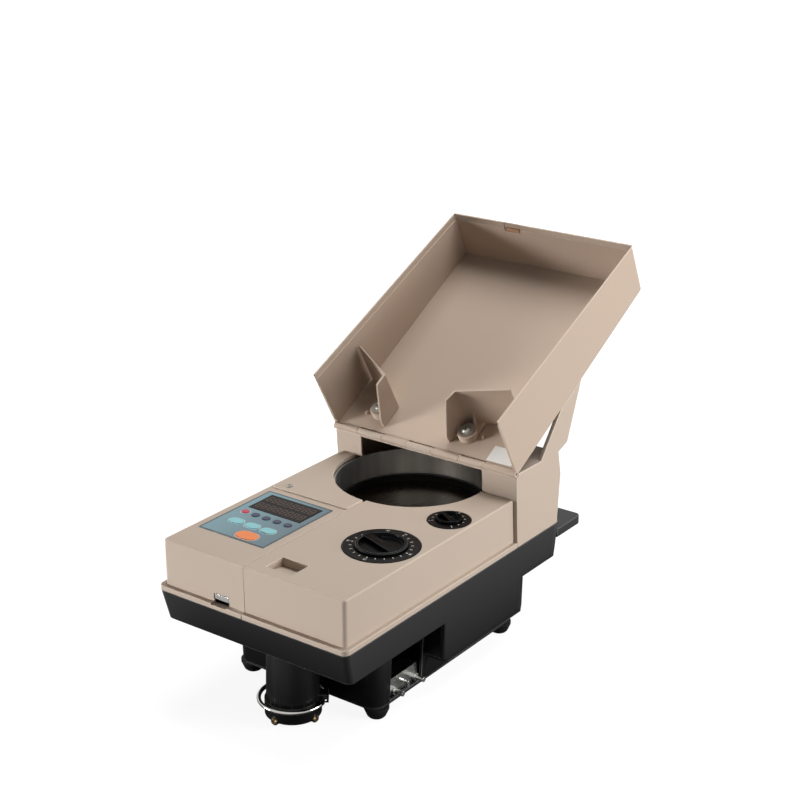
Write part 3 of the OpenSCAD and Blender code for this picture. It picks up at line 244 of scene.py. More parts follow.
def dressed_material(name: str) -> tuple[bpy.types.Material, bool]:
    """Find a finish's material, or start it.

    Args:
        name: Name of the finish.

    Returns:
        The material, and whether it is new and has to be filled in.
    """
    full_name = f"dressed_{name}"
    if full_name in bpy.data.materials:
        return bpy.data.materials[full_name], False
    material = bpy.data.materials.new(full_name)
    material.use_nodes = True
    return material, True


@dataclass(frozen=True)
class Moulding:
    """Moulded plastic or rubber with a fine grain.

    Attributes:
        name: Name of the material.
        colour: Colour as a hex code.
        roughness: Roughness of the surface.
        grain: Scale of the grain, in grains per metre.
        depth: Strength of the grain's bump.
        drift: How far the shade drifts over the surface.
        specular: Strength of the reflection at right angles.
        edge: Colour of the rounded edges, a painted highlight where they catch the light.
    """

    name: str
    colour: str
    roughness: float = 0.5
    grain: float = 1500.0
    depth: float = 0.03
    drift: float = 0.04
    specular: float = 0.4
    edge: str = ""

    def material(self) -> bpy.types.Material:
        """Return the material, made on first use."""
        material, is_new = dressed_material(self.name)
        if not is_new:
            return material
        tree = material.node_tree
        surface = tree.nodes["Principled BSDF"]
        surface.inputs["Roughness"].default_value = self.roughness
        surface.inputs["Specular IOR Level"].default_value = self.specular
        place = add_node(tree, "ShaderNodeTexCoord")
        grain = add_node(tree, "ShaderNodeGroup", node_tree=moulded_grain())
        grain.inputs["Scale"].default_value = self.grain
        grain.inputs["Drift"].default_value = self.drift
        shade = add_node(tree, "ShaderNodeVectorMath", operation="SCALE")
        shade.inputs[0].default_value = linear(self.colour)[:3]
        bump = add_node(tree, "ShaderNodeBump")
        bump.inputs["Strength"].default_value = self.depth
        bump.inputs["Distance"].default_value = GRAIN_DEPTH
        # Faces marked as rounded take the edge colour: a painted highlight.
        edge_highlight_mask = add_node(tree, "ShaderNodeAttribute", attribute_name=EDGE_MARK)
        blend = add_node(tree, "ShaderNodeMix", data_type="RGBA")
        blend.inputs["B"].default_value = linear(self.edge or self.colour)
        link = tree.links.new
        link(place.outputs["Object"], grain.inputs["Vector"])
        link(grain.outputs["Shade"], shade.inputs["Scale"])
        link(edge_highlight_mask.outputs["Fac"], blend.inputs["Factor"])
        link(shade.outputs["Vector"], blend.inputs["A"])
        link(blend.outputs["Result"], surface.inputs["Base Color"])
        link(grain.outputs["Height"], bump.inputs["Height"])
        link(bump.outputs["Normal"], surface.inputs["Normal"])
        return material


@dataclass(frozen=True)
class BareMetal:
    """Bare metal whose roughness follows the lines of its rolling or turning.

    Attributes:
        name: Name of the material.
        colour: Colour as a hex code.
        smooth: Roughness between the lines.
        rough: Roughness on the lines.
        stretch: Lines per metre along X, Y and Z.
        shade: Share of the colour that is left on the darkest lines; on the ring's broad bands this light and
            dark is painted reflection.
    """

    name: str
    colour: str
    smooth: float = 0.2
    rough: float = 0.35
    stretch: tuple[float, float, float] = (60.0, 60.0, 900.0)
    shade: float = 0.85

    def material(self) -> bpy.types.Material:
        """Return the material, made on first use."""
        material, is_new = dressed_material(self.name)
        if not is_new:
            return material
        tree = material.node_tree
        surface = tree.nodes["Principled BSDF"]
        surface.inputs["Metallic"].default_value = 1.0
        place = add_node(tree, "ShaderNodeTexCoord")
        lines = add_node(tree, "ShaderNodeGroup", node_tree=drawn_lines())
        lines.inputs["Stretch"].default_value = self.stretch
        span = span_node(tree, LINE_SPAN, (self.smooth, self.rough))
        # Colour follows the same mask; on broad bands, as on the ring, the light and dark it makes is painted
        # reflection.
        line_tone_and_painted_bands = span_node(tree, LINE_SPAN, (1.0, self.shade))
        colour = add_node(tree, "ShaderNodeVectorMath", operation="SCALE")
        colour.inputs[0].default_value = linear(self.colour)[:3]
        link = tree.links.new
        link(place.outputs["Object"], lines.inputs["Vector"])
        link(lines.outputs["Mask"], span.inputs["Value"])
        link(span.outputs["Result"], surface.inputs["Roughness"])
        link(lines.outputs["Mask"], line_tone_and_painted_bands.inputs["Value"])
        link(line_tone_and_painted_bands.outputs["Result"], colour.inputs["Scale"])
        link(colour.outputs["Vector"], surface.inputs["Base Color"])
        return material


@dataclass(frozen=True)
class PlainFinish:
    """Smooth finish such as print, film or lacquer, with a slow drift of its shade.

    Attributes:
        name: Name of the material.
        colour: Colour as a hex code.
        roughness: Mean roughness of the surface.
        metallic: One for metal, zero for all else.
        specular: Strength of the reflection at right angles.
        drift: How far the shade drifts over the surface.
    """

    name: str
    colour: str
    roughness: float = 0.45
    metallic: float = 0.0
    specular: float = 0.3
    drift: float = 0.06

    def material(self) -> bpy.types.Material:
        """Return the material, made on first use."""
        material, is_new = dressed_material(self.name)
        if not is_new:
            return material
        tree = material.node_tree
        surface = tree.nodes["Principled BSDF"]
        surface.inputs["Metallic"].default_value = self.metallic
        surface.inputs["Specular IOR Level"].default_value = self.specular
        place = add_node(tree, "ShaderNodeTexCoord")
        film = add_node(tree, "ShaderNodeGroup", node_tree=moulded_grain())
        film.inputs["Scale"].default_value = FILM_GRAIN
        film.inputs["Drift"].default_value = self.drift
        shade = add_node(tree, "ShaderNodeVectorMath", operation="SCALE")
        shade.inputs[0].default_value = linear(self.colour)[:3]
        gloss = span_node(tree, UNIT_SPAN, (0.8 * self.roughness, 1.2 * self.roughness))
        link = tree.links.new
        link(place.outputs["Object"], film.inputs["Vector"])
        link(film.outputs["Shade"], shade.inputs["Scale"])
        link(shade.outputs["Vector"], surface.inputs["Base Color"])
        link(film.outputs["Height"], gloss.inputs["Value"])
        link(gloss.outputs["Result"], surface.inputs["Roughness"])
        return material


@dataclass(frozen=True)
class FadedFilm:
    """Printed film whose colour fades from one side to the other.

    Attributes:
        name: Name of the material.
        left: Colour at the left edge.
        right: Colour at the right edge.
        span: Places of the two edges along X, in metres.
        roughness: Roughness of the film.
        specular: Strength of the reflection at right angles.
    """

    name: str
    left: str
    right: str
    span: tuple[float, float]
    roughness: float = 0.4
    specular: float = 0.15

    def material(self) -> bpy.types.Material:
        """Return the material, made on first use."""
        material, is_new = dressed_material(self.name)
        if not is_new:
            return material
        tree = material.node_tree
        surface = tree.nodes["Principled BSDF"]
        surface.inputs["Roughness"].default_value = self.roughness
        surface.inputs["Specular IOR Level"].default_value = self.specular
        place = add_node(tree, "ShaderNodeTexCoord")
        split = add_node(tree, "ShaderNodeSeparateXYZ")
        share = span_node(tree, self.span, UNIT_SPAN)
        blend = add_node(tree, "ShaderNodeMix", data_type="RGBA")
        blend.inputs["A"].default_value = linear(self.left)
        blend.inputs["B"].default_value = linear(self.right)
        link = tree.links.new
        link(place.outputs["Object"], split.inputs["Vector"])
        link(split.outputs["X"], share.inputs["Value"])
        link(share.outputs["Result"], blend.inputs["Factor"])
        link(blend.outputs["Result"], surface.inputs["Base Color"])
        return material


Finish = Moulding | BareMetal | PlainFinish | FadedFilm

# The edge colours below, lighter than each body colour, are painted highlights on rounded edges.
COVER_BEIGE = Moulding("cover_beige", "#b9a99a", roughness=0.5, depth=0.05, specular=0.12, edge="#cbbdae")
TRAY_BEIGE = Moulding("tray_beige", "#b8a595", roughness=0.5, depth=0.05, specular=0.12, edge="#cdbcab")
BASE_BLACK = Moulding("base_black", "#0e0e0e", roughness=0.28, depth=0.03, specular=0.22, edge="#4c4c4c")
BOWL_BLACK = Moulding("bowl_black", "#141312", roughness=0.45, specular=0.2)
DIAL_BLACK = Moulding("dial_black", "#070707", roughness=0.25, specular=0.05, edge="#3a3a3a")
SCALE_BLACK = Moulding("scale_black", "#100e0d", roughness=0.3, specular=0.08)
CATCH_TAN = Moulding("catch_tan", "#b48d6f", roughness=0.45, specular=0.15)
FOOT_RUBBER = Moulding("foot_rubber", "#151516", roughness=0.6, depth=0.1, specular=0.2)
ENTRY_BLACK = Moulding("entry_black", "#1b1b1c", roughness=0.4)
PULLEY_BLACK = Moulding("pulley_black", "#2d2f33", roughness=0.5)
BOARD_GREEN = PlainFinish("board_green", "#1f5b3a", roughness=0.4)
PLATE_BLACK = PlainFinish("plate_black", "#242425", roughness=0.55)
MOTOR_GREY = PlainFinish("motor_grey", "#5b5e63", roughness=0.4, metallic=1.0)
CORE_BROWN = PlainFinish("core_brown", "#7a6a4a", roughness=0.5)
# The ring's broad light and dark colour bands are painted reflections.
RING_STEEL = BareMetal(
    "ring_steel", "#f2f2f0", smooth=0.24, rough=0.44, stretch=(26.0, 26.0, 2.0), shade=0.42
)
# Dark steel disc; its warm brown tint is partly a painted reflection of the beige tray.
DISC_STEEL = BareMetal(
    "disc_steel", "#60564b", smooth=0.26, rough=0.36, stretch=(2400.0, 40.0, 40.0), shade=0.96
)
INNER_STEEL = BareMetal("inner_steel", "#8d8f92", smooth=0.3, rough=0.45)
BRIGHT_STEEL = BareMetal("bright_steel", "#9c9b98", smooth=0.2, rough=0.36)
BRACKET_STEEL = BareMetal("bracket_steel", "#d6d6d2", smooth=0.14, rough=0.3)
SCREW_STEEL = BareMetal("screw_steel", "#a39f97", smooth=0.34, rough=0.5)
BRASS = BareMetal("brass", "#cdac7a", smooth=0.22, rough=0.38)
CHROME = PlainFinish("wire_chrome", "#bfbdba", roughness=0.07, metallic=1.0)
DISPLAY_DARK = PlainFinish("display_dark", "#1a1614", roughness=0.3, specular=0.06)
SEGMENT_GREY = PlainFinish("segment_grey", "#5b483d", roughness=0.3, specular=0.15)
PRINT_WHITE = PlainFinish("print_white", "#dcdad5", roughness=0.5)
BORDER_GREY = PlainFinish("border_grey", "#474e54", roughness=0.45)
RIM_PALE = PlainFinish("rim_pale", "#bcd3d4", roughness=0.45)
RIM_WARM = PlainFinish("rim_warm", "#e4c4ae", roughness=0.45)
KEY_RED = PlainFinish("key_red_film", "#b63f56", roughness=0.4)
KEY_NAVY = PlainFinish("key_navy_film", "#2e3349", roughness=0.4)
KEY_CYAN = PlainFinish("key_cyan_film", "#86bfc4", roughness=0.4)
KEY_ORANGE = PlainFinish("key_orange_film", "#e58248", roughness=0.4)
ROCKER_RED = PlainFinish("rocker_red", "#b02a2a", roughness=0.25)
LABEL_WHITE = PlainFinish("label_white", "#dddcd8", roughness=0.5)
# Dark marks where a screw's slots or a rivet's hole would lie in shade: painted shade.
RECESS_SHADE = PlainFinish("slot_dark", "#2b2a29", roughness=0.5)


# Outlines and meshes


def oval(centre: tuple[float, float], width: float, depth: float, steps: int = 12) -> Outline:
    """Outline of an ellipse.

    Args:
        centre: Middle of the ellipse.
        width: Size along X.
        depth: Size along Y.
        steps: Points per quarter.

    Returns:
        Points in order, anticlockwise.
    """
    count = 4 * steps
    turns = [math.tau * i / count for i in range(count)]
    return [(centre[0] + width / 2 * math.cos(t), centre[1] + depth / 2 * math.sin(t)) for t in turns]


def rounded_box(
    low: tuple[float, float], high: tuple[float, float], radius: float, steps: int = 4
) -> Outline:
    """Outline of a rectangle with round corners.

    Args:
        low: Lower left corner.
        high: Upper right corner.
        radius: Corner radius.
        steps: Pieces of each corner's arc.

    Returns:
        Points in order, anticlockwise.
    """
    middles = [
        (high[0] - radius, high[1] - radius),
        (low[0] + radius, high[1] - radius),
        (low[0] + radius, low[1] + radius),
        (high[0] - radius, low[1] + radius),
    ]
    points: Outline = []
    for corner, (x, y) in enumerate(middles):
        for i in range(steps + 1):
            turn = math.pi / 2 * (corner + i / steps)
            points.append((x + radius * math.cos(turn), y + radius * math.sin(turn)))
    return points


def linked(name: str, data: bpy.types.ID) -> bpy.types.Object:
    """Make an object of a mesh, curve, lamp or camera and put it in the scene."""
    item = bpy.data.objects.new(name, data)
    bpy.context.scene.collection.objects.link(item)
    return item


def evaluated_mesh(piece: bpy.types.Object) -> bpy.types.Mesh:
    """Return a plain mesh of what an object looks like with its modifiers."""
    bpy.context.view_layer.update()
    graph = bpy.context.evaluated_depsgraph_get()
    return bpy.data.meshes.new_from_object(piece.evaluated_get(graph), depsgraph=graph)


def finish_mesh(builder: bmesh.types.BMesh, name: str, finish: Finish) -> bpy.types.Object:
    """Turn a bmesh into an object with smooth curves and sharp edges.

    Args:
        builder: Mesh to take over; it is freed.
        name: Name of the piece.
        finish: Finish of the whole piece.

    Returns:
        The linked object.
    """
    mesh = bpy.data.meshes.new(name)
    builder.to_mesh(mesh)
    builder.free()
    mesh.materials.append(finish.material())
    smooth_by_angle(mesh)
    return linked(name, mesh)


def smooth_by_angle(mesh: bpy.types.Mesh, angle: float = SHARP_ANGLE) -> None:
    """Shade a mesh smooth, with edges above an angle kept sharp."""
    mesh.polygons.foreach_set("use_smooth", [True] * len(mesh.polygons))
    mesh.set_sharp_from_angle(angle=angle)


def skin(builder: bmesh.types.BMesh) -> float:
    """Return the area of a mesh, counted triangle by triangle."""
    copy = builder.copy()
    bmesh.ops.triangulate(copy, faces=copy.faces[:])
    area = sum(face.calc_area() for face in copy.faces)
    copy.free()
    return area


def room_across(loop: bmesh.types.BMLoop) -> float:
    """Measure how far a face reaches inwards from the middle of one of its edges.

    Args:
        loop: Edge of the face, with the face on its left.

    Returns:
        Distance to the face's next edge, in metres.
    """
    start, end = loop.vert.co, loop.link_loop_next.vert.co
    along = (end - start).normalized()
    inward = loop.face.normal.cross(along)
    centre = (start + end) / 2
    room = math.inf
    for other in loop.face.edges:
        first, second = (corner.co - centre for corner in other.verts)
        before, after = first.dot(along), second.dot(along)
        if other is loop.edge or (before > 0) == (after > 0):
            continue
        share = before / (before - after)
        reach = first.lerp(second, share).dot(inward)
        if reach > 0:
            room = min(room, reach)
    return room


def round_edges(builder: bmesh.types.BMesh, width: float) -> None:
    """Round the sharp outer edges that have room for it, and mark the new faces.

    Args:
        builder: Mesh to change.
        width: Width of the rounding, in metres.
    """
    builder.normal_update()
    mark = builder.faces.layers.float.new(EDGE_MARK)
    sharp = {
        edge
        for edge in builder.edges
        if edge.is_manifold and edge.is_convex and edge.calc_face_angle() > BEVEL_ANGLE
    }
    roomy = []
    for edge in (edge for edge in builder.edges if edge in sharp):
        beside = [other for corner in edge.verts for other in corner.link_edges if other not in sharp]
        has_ends = all(other.calc_length() > BESIDE_ROOM * width for other in beside)
        if has_ends and all(room_across(loop) > ACROSS_ROOM * width for loop in edge.link_loops):
            roomy.append(edge)
    corners = list({corner for edge in roomy for corner in edge.verts})
    places = [corner.co for corner in builder.verts]
    low = [min(place[axis] for place in places) for axis in range(3)]
    high = [max(place[axis] for place in places) for axis in range(3)]
    rounded = bmesh.ops.bevel(
        builder,
        geom=[*corners, *roomy],
        offset=width,
        offset_type="OFFSET",
        segments=ROUND_SEGMENTS,
        profile=0.5,
        affect="EDGES",
        clamp_overlap=False,
        loop_slide=True,
    )
    for face in rounded["faces"]:
        face[mark] = 1.0
    for corner in builder.verts:
        corner.co = [min(max(corner.co[axis], low[axis]), high[axis]) for axis in range(3)]


def weigh_normals(piece: bpy.types.Object) -> None:
    """Let large flat faces keep their normals beside small roundings."""
    modifier = piece.modifiers.new("flat_faces", "WEIGHTED_NORMAL")
    modifier.keep_sharp = True
    modifier.weight = FLAT_FACE_WEIGHT
    baked(piece)


def prism(
    name: str, finish: Finish, bottom: Sequence[Sequence[float]], top: Sequence[Sequence[float]]
) -> bpy.types.Object:
    """Make a closed prism between two faces with as many corners each.

    Args:
        name: Name of the piece.
        finish: Finish of the prism.
        bottom: Corners of the lower face, anticlockwise from above.
        top: Corners of the upper face, in the same order.

    Returns:
        The prism.
    """
    builder = bmesh.new()
    under = [builder.verts.new(corner) for corner in bottom]
    over = [builder.verts.new(corner) for corner in top]
    builder.faces.new(list(reversed(under)))
    builder.faces.new(over)
    for i in range(len(under)):
        j = (i + 1) % len(under)
        builder.faces.new((under[i], under[j], over[j], over[i]))
    return finish_mesh(builder, name, finish)


def plate(name: str, finish: Finish, outline: Outline, low: float, high: float) -> bpy.types.Object:
    """Make a flat plate from an outline.

    Args:
        name: Name of the piece.
        finish: Finish of the plate.
        outline: Points of the outline, anticlockwise.
        low: Height of the underside.
        high: Height of the top.

    Returns:
        The plate.
    """
    return prism(name, finish, [(x, y, low) for x, y in outline], [(x, y, high) for x, y in outline])


def band(
    name: str, finish: Finish, inner: Outline, outer: Outline, low: float, high: float
) -> bpy.types.Object:
    """Make a flat closed band between two outlines with as many points each.

    Args:
        name: Name of the piece.
        finish: Finish of the band.
        inner: Points of the inner outline.
        outer: Points of the outer outline.
        low: Height of the underside.
        high: Height of the top.

    Returns:
        The band.
    """
    builder = bmesh.new()
    rows = [
        [builder.verts.new((x, y, z)) for x, y in outline]
        for outline, z in ((outer, low), (outer, high), (inner, high), (inner, low))
    ]
    count = len(inner)
    for here, there in zip(rows, rows[1:] + rows[:1]):
        for i in range(count):
            j = (i + 1) % count
            builder.faces.new((here[i], here[j], there[j], there[i]))
    return finish_mesh(builder, name, finish)


def joined(name: str, pieces: Sequence[bpy.types.Object]) -> bpy.types.Object:
    """Join plain meshes of one finish into a single piece.

    Args:
        name: Name of the joined piece.
        pieces: Pieces to join; they are removed.

    Returns:
        The joined piece.
    """
    builder = bmesh.new()
    materials = [piece.data.materials[0] for piece in pieces]
    for piece in pieces:
        builder.from_mesh(piece.data)
    mesh = bpy.data.meshes.new(name)
    builder.to_mesh(mesh)
    builder.free()
    mesh.materials.append(materials[0])
    smooth_by_angle(mesh)
    for piece in pieces:
        bpy.data.objects.remove(piece)
    return linked(name, mesh)


def baked(piece: bpy.types.Object) -> bpy.types.Object:
    """Replace a piece's mesh by what its modifiers make of it, and remove them.

    Args:
        piece: Object with live modifiers.

    Returns:
        The same object with a plain mesh.
    """
    mesh = evaluated_mesh(piece)
    piece.modifiers.clear()
    piece.data = mesh
    return piece


# Geometry Nodes for what repeats


def geometry_tree(name: str, inputs: dict[str, str]) -> bpy.types.NodeTree:
    """Start a Geometry Nodes tree with named inputs and one geometry output.

    Args:
        name: Name of the tree.
        inputs: Socket types by input name.

    Returns:
        The tree, holding only its input and output nodes.
    """
    tree = bpy.data.node_groups.new(name, "GeometryNodeTree")
    tree.interface.new_socket("Geometry", in_out="OUTPUT", socket_type="NodeSocketGeometry")
    for socket, kind in inputs.items():
        tree.interface.new_socket(socket, in_out="INPUT", socket_type=kind)
    add_node(tree, "NodeGroupInput", name="in")
    add_node(tree, "NodeGroupOutput", name="out")
    return tree


def set_inputs(modifier: bpy.types.NodesModifier, values: dict[str, object]) -> None:
    """Set a modifier's inputs, found by name, through their identifiers.

    Args:
        modifier: Geometry Nodes modifier.
        values: Values by input name.
    """
    for socket in modifier.node_group.interface.items_tree:
        if socket.item_type == "SOCKET" and socket.in_out == "INPUT" and socket.name in values:
            modifier[socket.identifier] = values[socket.name]


def close_tree(tree: bpy.types.NodeTree, instances: bpy.types.NodeSocket) -> None:
    """End a tree in Realize Instances and Set Material.

    Args:
        tree: Tree whose input has a Material socket.
        instances: Socket with the instances.
    """
    whole = add_node(tree, "GeometryNodeRealizeInstances")
    dress = add_node(tree, "GeometryNodeSetMaterial")
    tree.links.new(instances, whole.inputs["Geometry"])
    tree.links.new(whole.outputs["Geometry"], dress.inputs["Geometry"])
    tree.links.new(tree.nodes["in"].outputs["Material"], dress.inputs["Material"])
    tree.links.new(dress.outputs["Geometry"], tree.nodes["out"].inputs["Geometry"])


def copies_at(tree: bpy.types.NodeTree, spot: bpy.types.NodeSocket) -> bpy.types.Node:
    """Add the nodes that set copies of the tree's piece on points.

    Args:
        tree: Tree whose input has Piece and Count sockets.
        spot: Socket with each point's place.

    Returns:
        The node that makes the copies.
    """
    source = tree.nodes["in"]
    points = add_node(tree, "GeometryNodePoints")
    look = add_node(tree, "GeometryNodeObjectInfo")
    copies = add_node(tree, "GeometryNodeInstanceOnPoints")
    link = tree.links.new
    link(source.outputs["Count"], points.inputs["Count"])
    link(spot, points.inputs["Position"])
    link(source.outputs["Piece"], look.inputs["Object"])
    link(points.outputs[0], copies.inputs["Points"])
    link(look.outputs["Geometry"], copies.inputs["Instance"])
    return copies


def ring_tree() -> bpy.types.NodeTree:
    """Build, once, the tree that sets copies of an object round a centre.

    Returns:
        Tree with the object, the count, the angles and the radius as inputs.
    """
    name = "round_ring"
    if name in bpy.data.node_groups:
        return bpy.data.node_groups[name]
    tree = geometry_tree(
        name,
        {
            "Piece": "NodeSocketObject",
            "Count": "NodeSocketInt",
            "Start": "NodeSocketFloat",
            "Step": "NodeSocketFloat",
            "Radius": "NodeSocketFloat",
            "Centre": "NodeSocketVector",
            "Material": "NodeSocketMaterial",
        },
    )
    source = tree.nodes["in"]
    link = tree.links.new
    index = add_node(tree, "GeometryNodeInputIndex")
    turn = add_node(tree, "ShaderNodeMath", operation="MULTIPLY_ADD")
    cosine = add_node(tree, "ShaderNodeMath", operation="COSINE")
    sine = add_node(tree, "ShaderNodeMath", operation="SINE")
    outward = add_node(tree, "ShaderNodeCombineXYZ")
    reach = add_node(tree, "ShaderNodeVectorMath", operation="SCALE")
    spot = add_node(tree, "ShaderNodeVectorMath", operation="ADD")
    spin = add_node(tree, "ShaderNodeCombineXYZ")
    copies = copies_at(tree, spot.outputs["Vector"])
    link(index.outputs[0], turn.inputs[0])
    link(source.outputs["Step"], turn.inputs[1])
    link(source.outputs["Start"], turn.inputs[2])
    link(turn.outputs[0], cosine.inputs[0])
    link(turn.outputs[0], sine.inputs[0])
    link(cosine.outputs[0], outward.inputs["X"])
    link(sine.outputs[0], outward.inputs["Y"])
    link(outward.outputs[0], reach.inputs[0])
    link(source.outputs["Radius"], reach.inputs["Scale"])
    link(reach.outputs["Vector"], spot.inputs[0])
    link(source.outputs["Centre"], spot.inputs[1])
    link(turn.outputs[0], spin.inputs["Z"])
    link(spin.outputs[0], copies.inputs["Rotation"])
    close_tree(tree, copies.outputs["Instances"])
    return tree


def row_tree() -> bpy.types.NodeTree:
    """Build, once, the tree that repeats an object along a straight row.

    Returns:
        Tree with the object, the count, the first place and the step as inputs.
    """
    name = "straight_row"
    if name in bpy.data.node_groups:
        return bpy.data.node_groups[name]
    tree = geometry_tree(
        name,
        {
            "Piece": "NodeSocketObject",
            "Count": "NodeSocketInt",
            "First": "NodeSocketVector",
            "Step": "NodeSocketVector",
            "Material": "NodeSocketMaterial",
        },
    )
    source = tree.nodes["in"]
    link = tree.links.new
    index = add_node(tree, "GeometryNodeInputIndex")
    along = add_node(tree, "ShaderNodeVectorMath", operation="SCALE")
    spot = add_node(tree, "ShaderNodeVectorMath", operation="ADD")
    copies = copies_at(tree, spot.outputs["Vector"])
    link(source.outputs["Step"], along.inputs[0])
    link(index.outputs[0], along.inputs["Scale"])
    link(along.outputs["Vector"], spot.inputs[0])
    link(source.outputs["First"], spot.inputs[1])
    close_tree(tree, copies.outputs["Instances"])
    return tree


def grown(name: str, tree: bpy.types.NodeTree, values: dict[str, object]) -> bpy.types.Object:
    """Run a tree on an empty mesh and keep its result as a plain mesh.

    Args:
        name: Name of the piece.
        tree: Geometry Nodes tree.
        values: Values by input name.

    Returns:
        The piece, with no modifier left.
    """
    piece = linked(name, bpy.data.meshes.new(name))
    modifier = piece.modifiers.new(name, "NODES")
    modifier.node_group = tree
    set_inputs(modifier, values)
    return baked(piece)


def ring_of(
    name: str, piece: bpy.types.Object, angles: Sequence[float], radius: float, centre: Sequence[float]
) -> bpy.types.Object:
    """Set copies of a piece round a centre, at even angles.

    Args:
        name: Name of the ring.
        piece: Piece to copy, made at the origin; it is removed.
        angles: Count, first angle and step, the angles in degrees.
        radius: Distance of the copies from the centre, in metres.
        centre: Middle of the ring.

    Returns:
        All copies as one plain mesh.
    """
    count, start, step = angles
    whole = grown(
        name,
        ring_tree(),
        {
            "Piece": piece,
            "Count": int(count),
            "Start": math.radians(start),
            "Step": math.radians(step),
            "Radius": radius,
            "Centre": tuple(centre),
            "Material": piece.data.materials[0],
        },
    )
    bpy.data.objects.remove(piece)
    return whole


def screw_cross(name: str, length: float, width: float, centre: Sequence[float]) -> bpy.types.Object:
    """Make the dark cross of a screw's head, painted shade standing for its recessed slots.

    Args:
        name: Name of the piece.
        length: Length of each slot, in metres.
        width: Width of each slot, in metres.
        centre: Middle of the head's top.

    Returns:
        The cross, flat in X and Y.
    """
    half = 0.05 * MM
    outline = rounded_box((-length / 2, -width / 2), (length / 2, width / 2), 0.2 * width, 1)
    bar = plate(f"{name}_bar", RECESS_SHADE, outline, -half, half)
    return ring_of(name, bar, (2, 20.0, 90.0), 0.0, centre)


# The bench: everything that joins a piece to the frame


@dataclass
class Bench:
    """The loaded frame and what goes on it.

    Attributes:
        nodes: CAD objects by node name.
        body_of: Body name by node name.
        slot_of: Material slot by node name; not used.
    """

    nodes: dict[str, bpy.types.Object]
    body_of: dict[str, str]
    slot_of: dict[str, str]

    @classmethod
    def from_frame(cls, frame: dict) -> "Bench":
        """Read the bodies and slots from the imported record."""
        record = frame["record"]
        body_of = {node: body for body, nodes in record["behaviour"]["bodies"].items() for node in nodes}
        slot_of = {part["node"]: part["material_slot"] for part in record["subparts"]}
        return cls(frame["nodes"], body_of, slot_of)

    def paint(self, finish: Finish, *names: str) -> None:
        """Give CAD nodes a finish.

        Args:
            finish: Finish to use.
            names: Node names.
        """
        for name in names:
            mesh = self.nodes[name].data
            mesh.materials.clear()
            mesh.materials.append(finish.material())
            LOG.info("painted %s", name)

    def soften(self, finish: Finish, round_mm: float, *names: str, sharp: float = SHARP_ANGLE) -> None:
        """Show nodes as merged copies with rounded edges.

        Args:
            finish: Finish to use.
            round_mm: Width of the rounding in millimetres, zero for none.
            names: Node names.
            sharp: Angle from which an edge stays sharp.
        """
        for name in names:
            builder = bmesh.new()
            builder.from_mesh(self.nodes[name].data)
            bmesh.ops.remove_doubles(builder, verts=builder.verts, dist=MERGE_DISTANCE)
            bmesh.ops.dissolve_limit(
                builder, angle_limit=FLAT_ANGLE, verts=builder.verts, edges=builder.edges
            )
            for share in ROUND_TRIES if round_mm > 0 else ():
                rounded = builder.copy()
                round_edges(rounded, share * round_mm * MM)
                if skin(rounded) < skin(builder):
                    builder.free()
                    builder = rounded
                    break
                rounded.free()
            piece = finish_mesh(builder, f"{name}_soft", finish)
            smooth_by_angle(piece.data, sharp)
            weigh_normals(piece)
            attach(piece, self.body_of[name])
            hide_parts(name)
            LOG.info("softened %s", name)

    def add(self, piece: bpy.types.Object, like: str) -> bpy.types.Object:
        """Let a new piece ride with a node's body.

        Args:
            piece: New piece, in place.
            like: Node that carries it.

        Returns:
            The piece.
        """
        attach(piece, self.body_of[like])
        LOG.info("added %s", piece.name)
        return piece


def middle(node: str) -> Vector:
    """Return the middle of a node's box."""
    low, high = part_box(node)
    return (Vector(low) + Vector(high)) / 2


def top_of(node: str) -> float:
    """Return the height of a node's highest point."""
    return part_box(node)[1][2]


# Sub-assemblies


@dataclass
class BaseUnit:
    """Black base with its feet, spout, bracket and power entry.

    Attributes:
        shell_round: Rounding of the base's edges, in millimetres.
        small_round: Rounding of its small pieces, in millimetres.
        steel_round: Rounding of the bracket and the latch, in millimetres.
        rivet_turn: Angle of the first rivet round the spout, in degrees.
        rivet_hole: Radius of the hole in a rivet, in metres.
        rivet_sink: Depth of the hole's floor behind the rivet's face, in metres.
        core_thick: Thickness of the dark disc of painted shade on the hole's floor, in metres.
    """

    shell_round: float = 0.9
    small_round: float = 0.3
    steel_round: float = 0.2
    rivet_turn: float = -91.0
    rivet_hole: float = 1.55 * MM
    rivet_sink: float = 0.85 * MM
    core_thick: float = 0.1 * MM

    def dress(self, bench: Bench) -> None:
        """Round and paint the base's nodes."""
        bench.soften(BASE_BLACK, self.shell_round, "base_shell")
        bench.soften(BASE_BLACK, self.small_round, "coin_spout")
        bench.soften(FOOT_RUBBER, 0.0, "rubber_feet")
        bench.soften(BRASS, 0.0, "spout_rivets")
        bench.soften(CHROME, 0.0, "bag_ring")
        bench.soften(BRACKET_STEEL, self.steel_round, "side_bracket")
        bench.soften(BRIGHT_STEEL, self.steel_round, "front_latch")
        bench.soften(ENTRY_BLACK, self.small_round, "power_entry")
        bench.soften(ROCKER_RED, self.small_round, "power_rocker")
        bench.paint(PLATE_BLACK, "bottom_plate")
        self.rivet_cores(bench)

    def rivet_cores(self, bench: Bench) -> None:
        """Lay dark discs of painted shade in the holes of the tubular rivets round the spout."""
        low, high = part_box("spout_rivets")
        hole = oval((0.0, 0.0), 2 * self.rivet_hole, 2 * self.rivet_hole, 4)
        core = plate("rivet_core", RECESS_SHADE, hole, 0.0, self.core_thick)
        core.data.transform(Matrix.Rotation(math.pi / 2, 4, "Y"))
        reach = (high[0] - low[0]) / 2 - self.rivet_sink
        cores = ring_of("rivet_cores", core, (4, self.rivet_turn, 90.0), reach, middle("spout_rivets"))
        bench.add(cores, "spout_rivets")


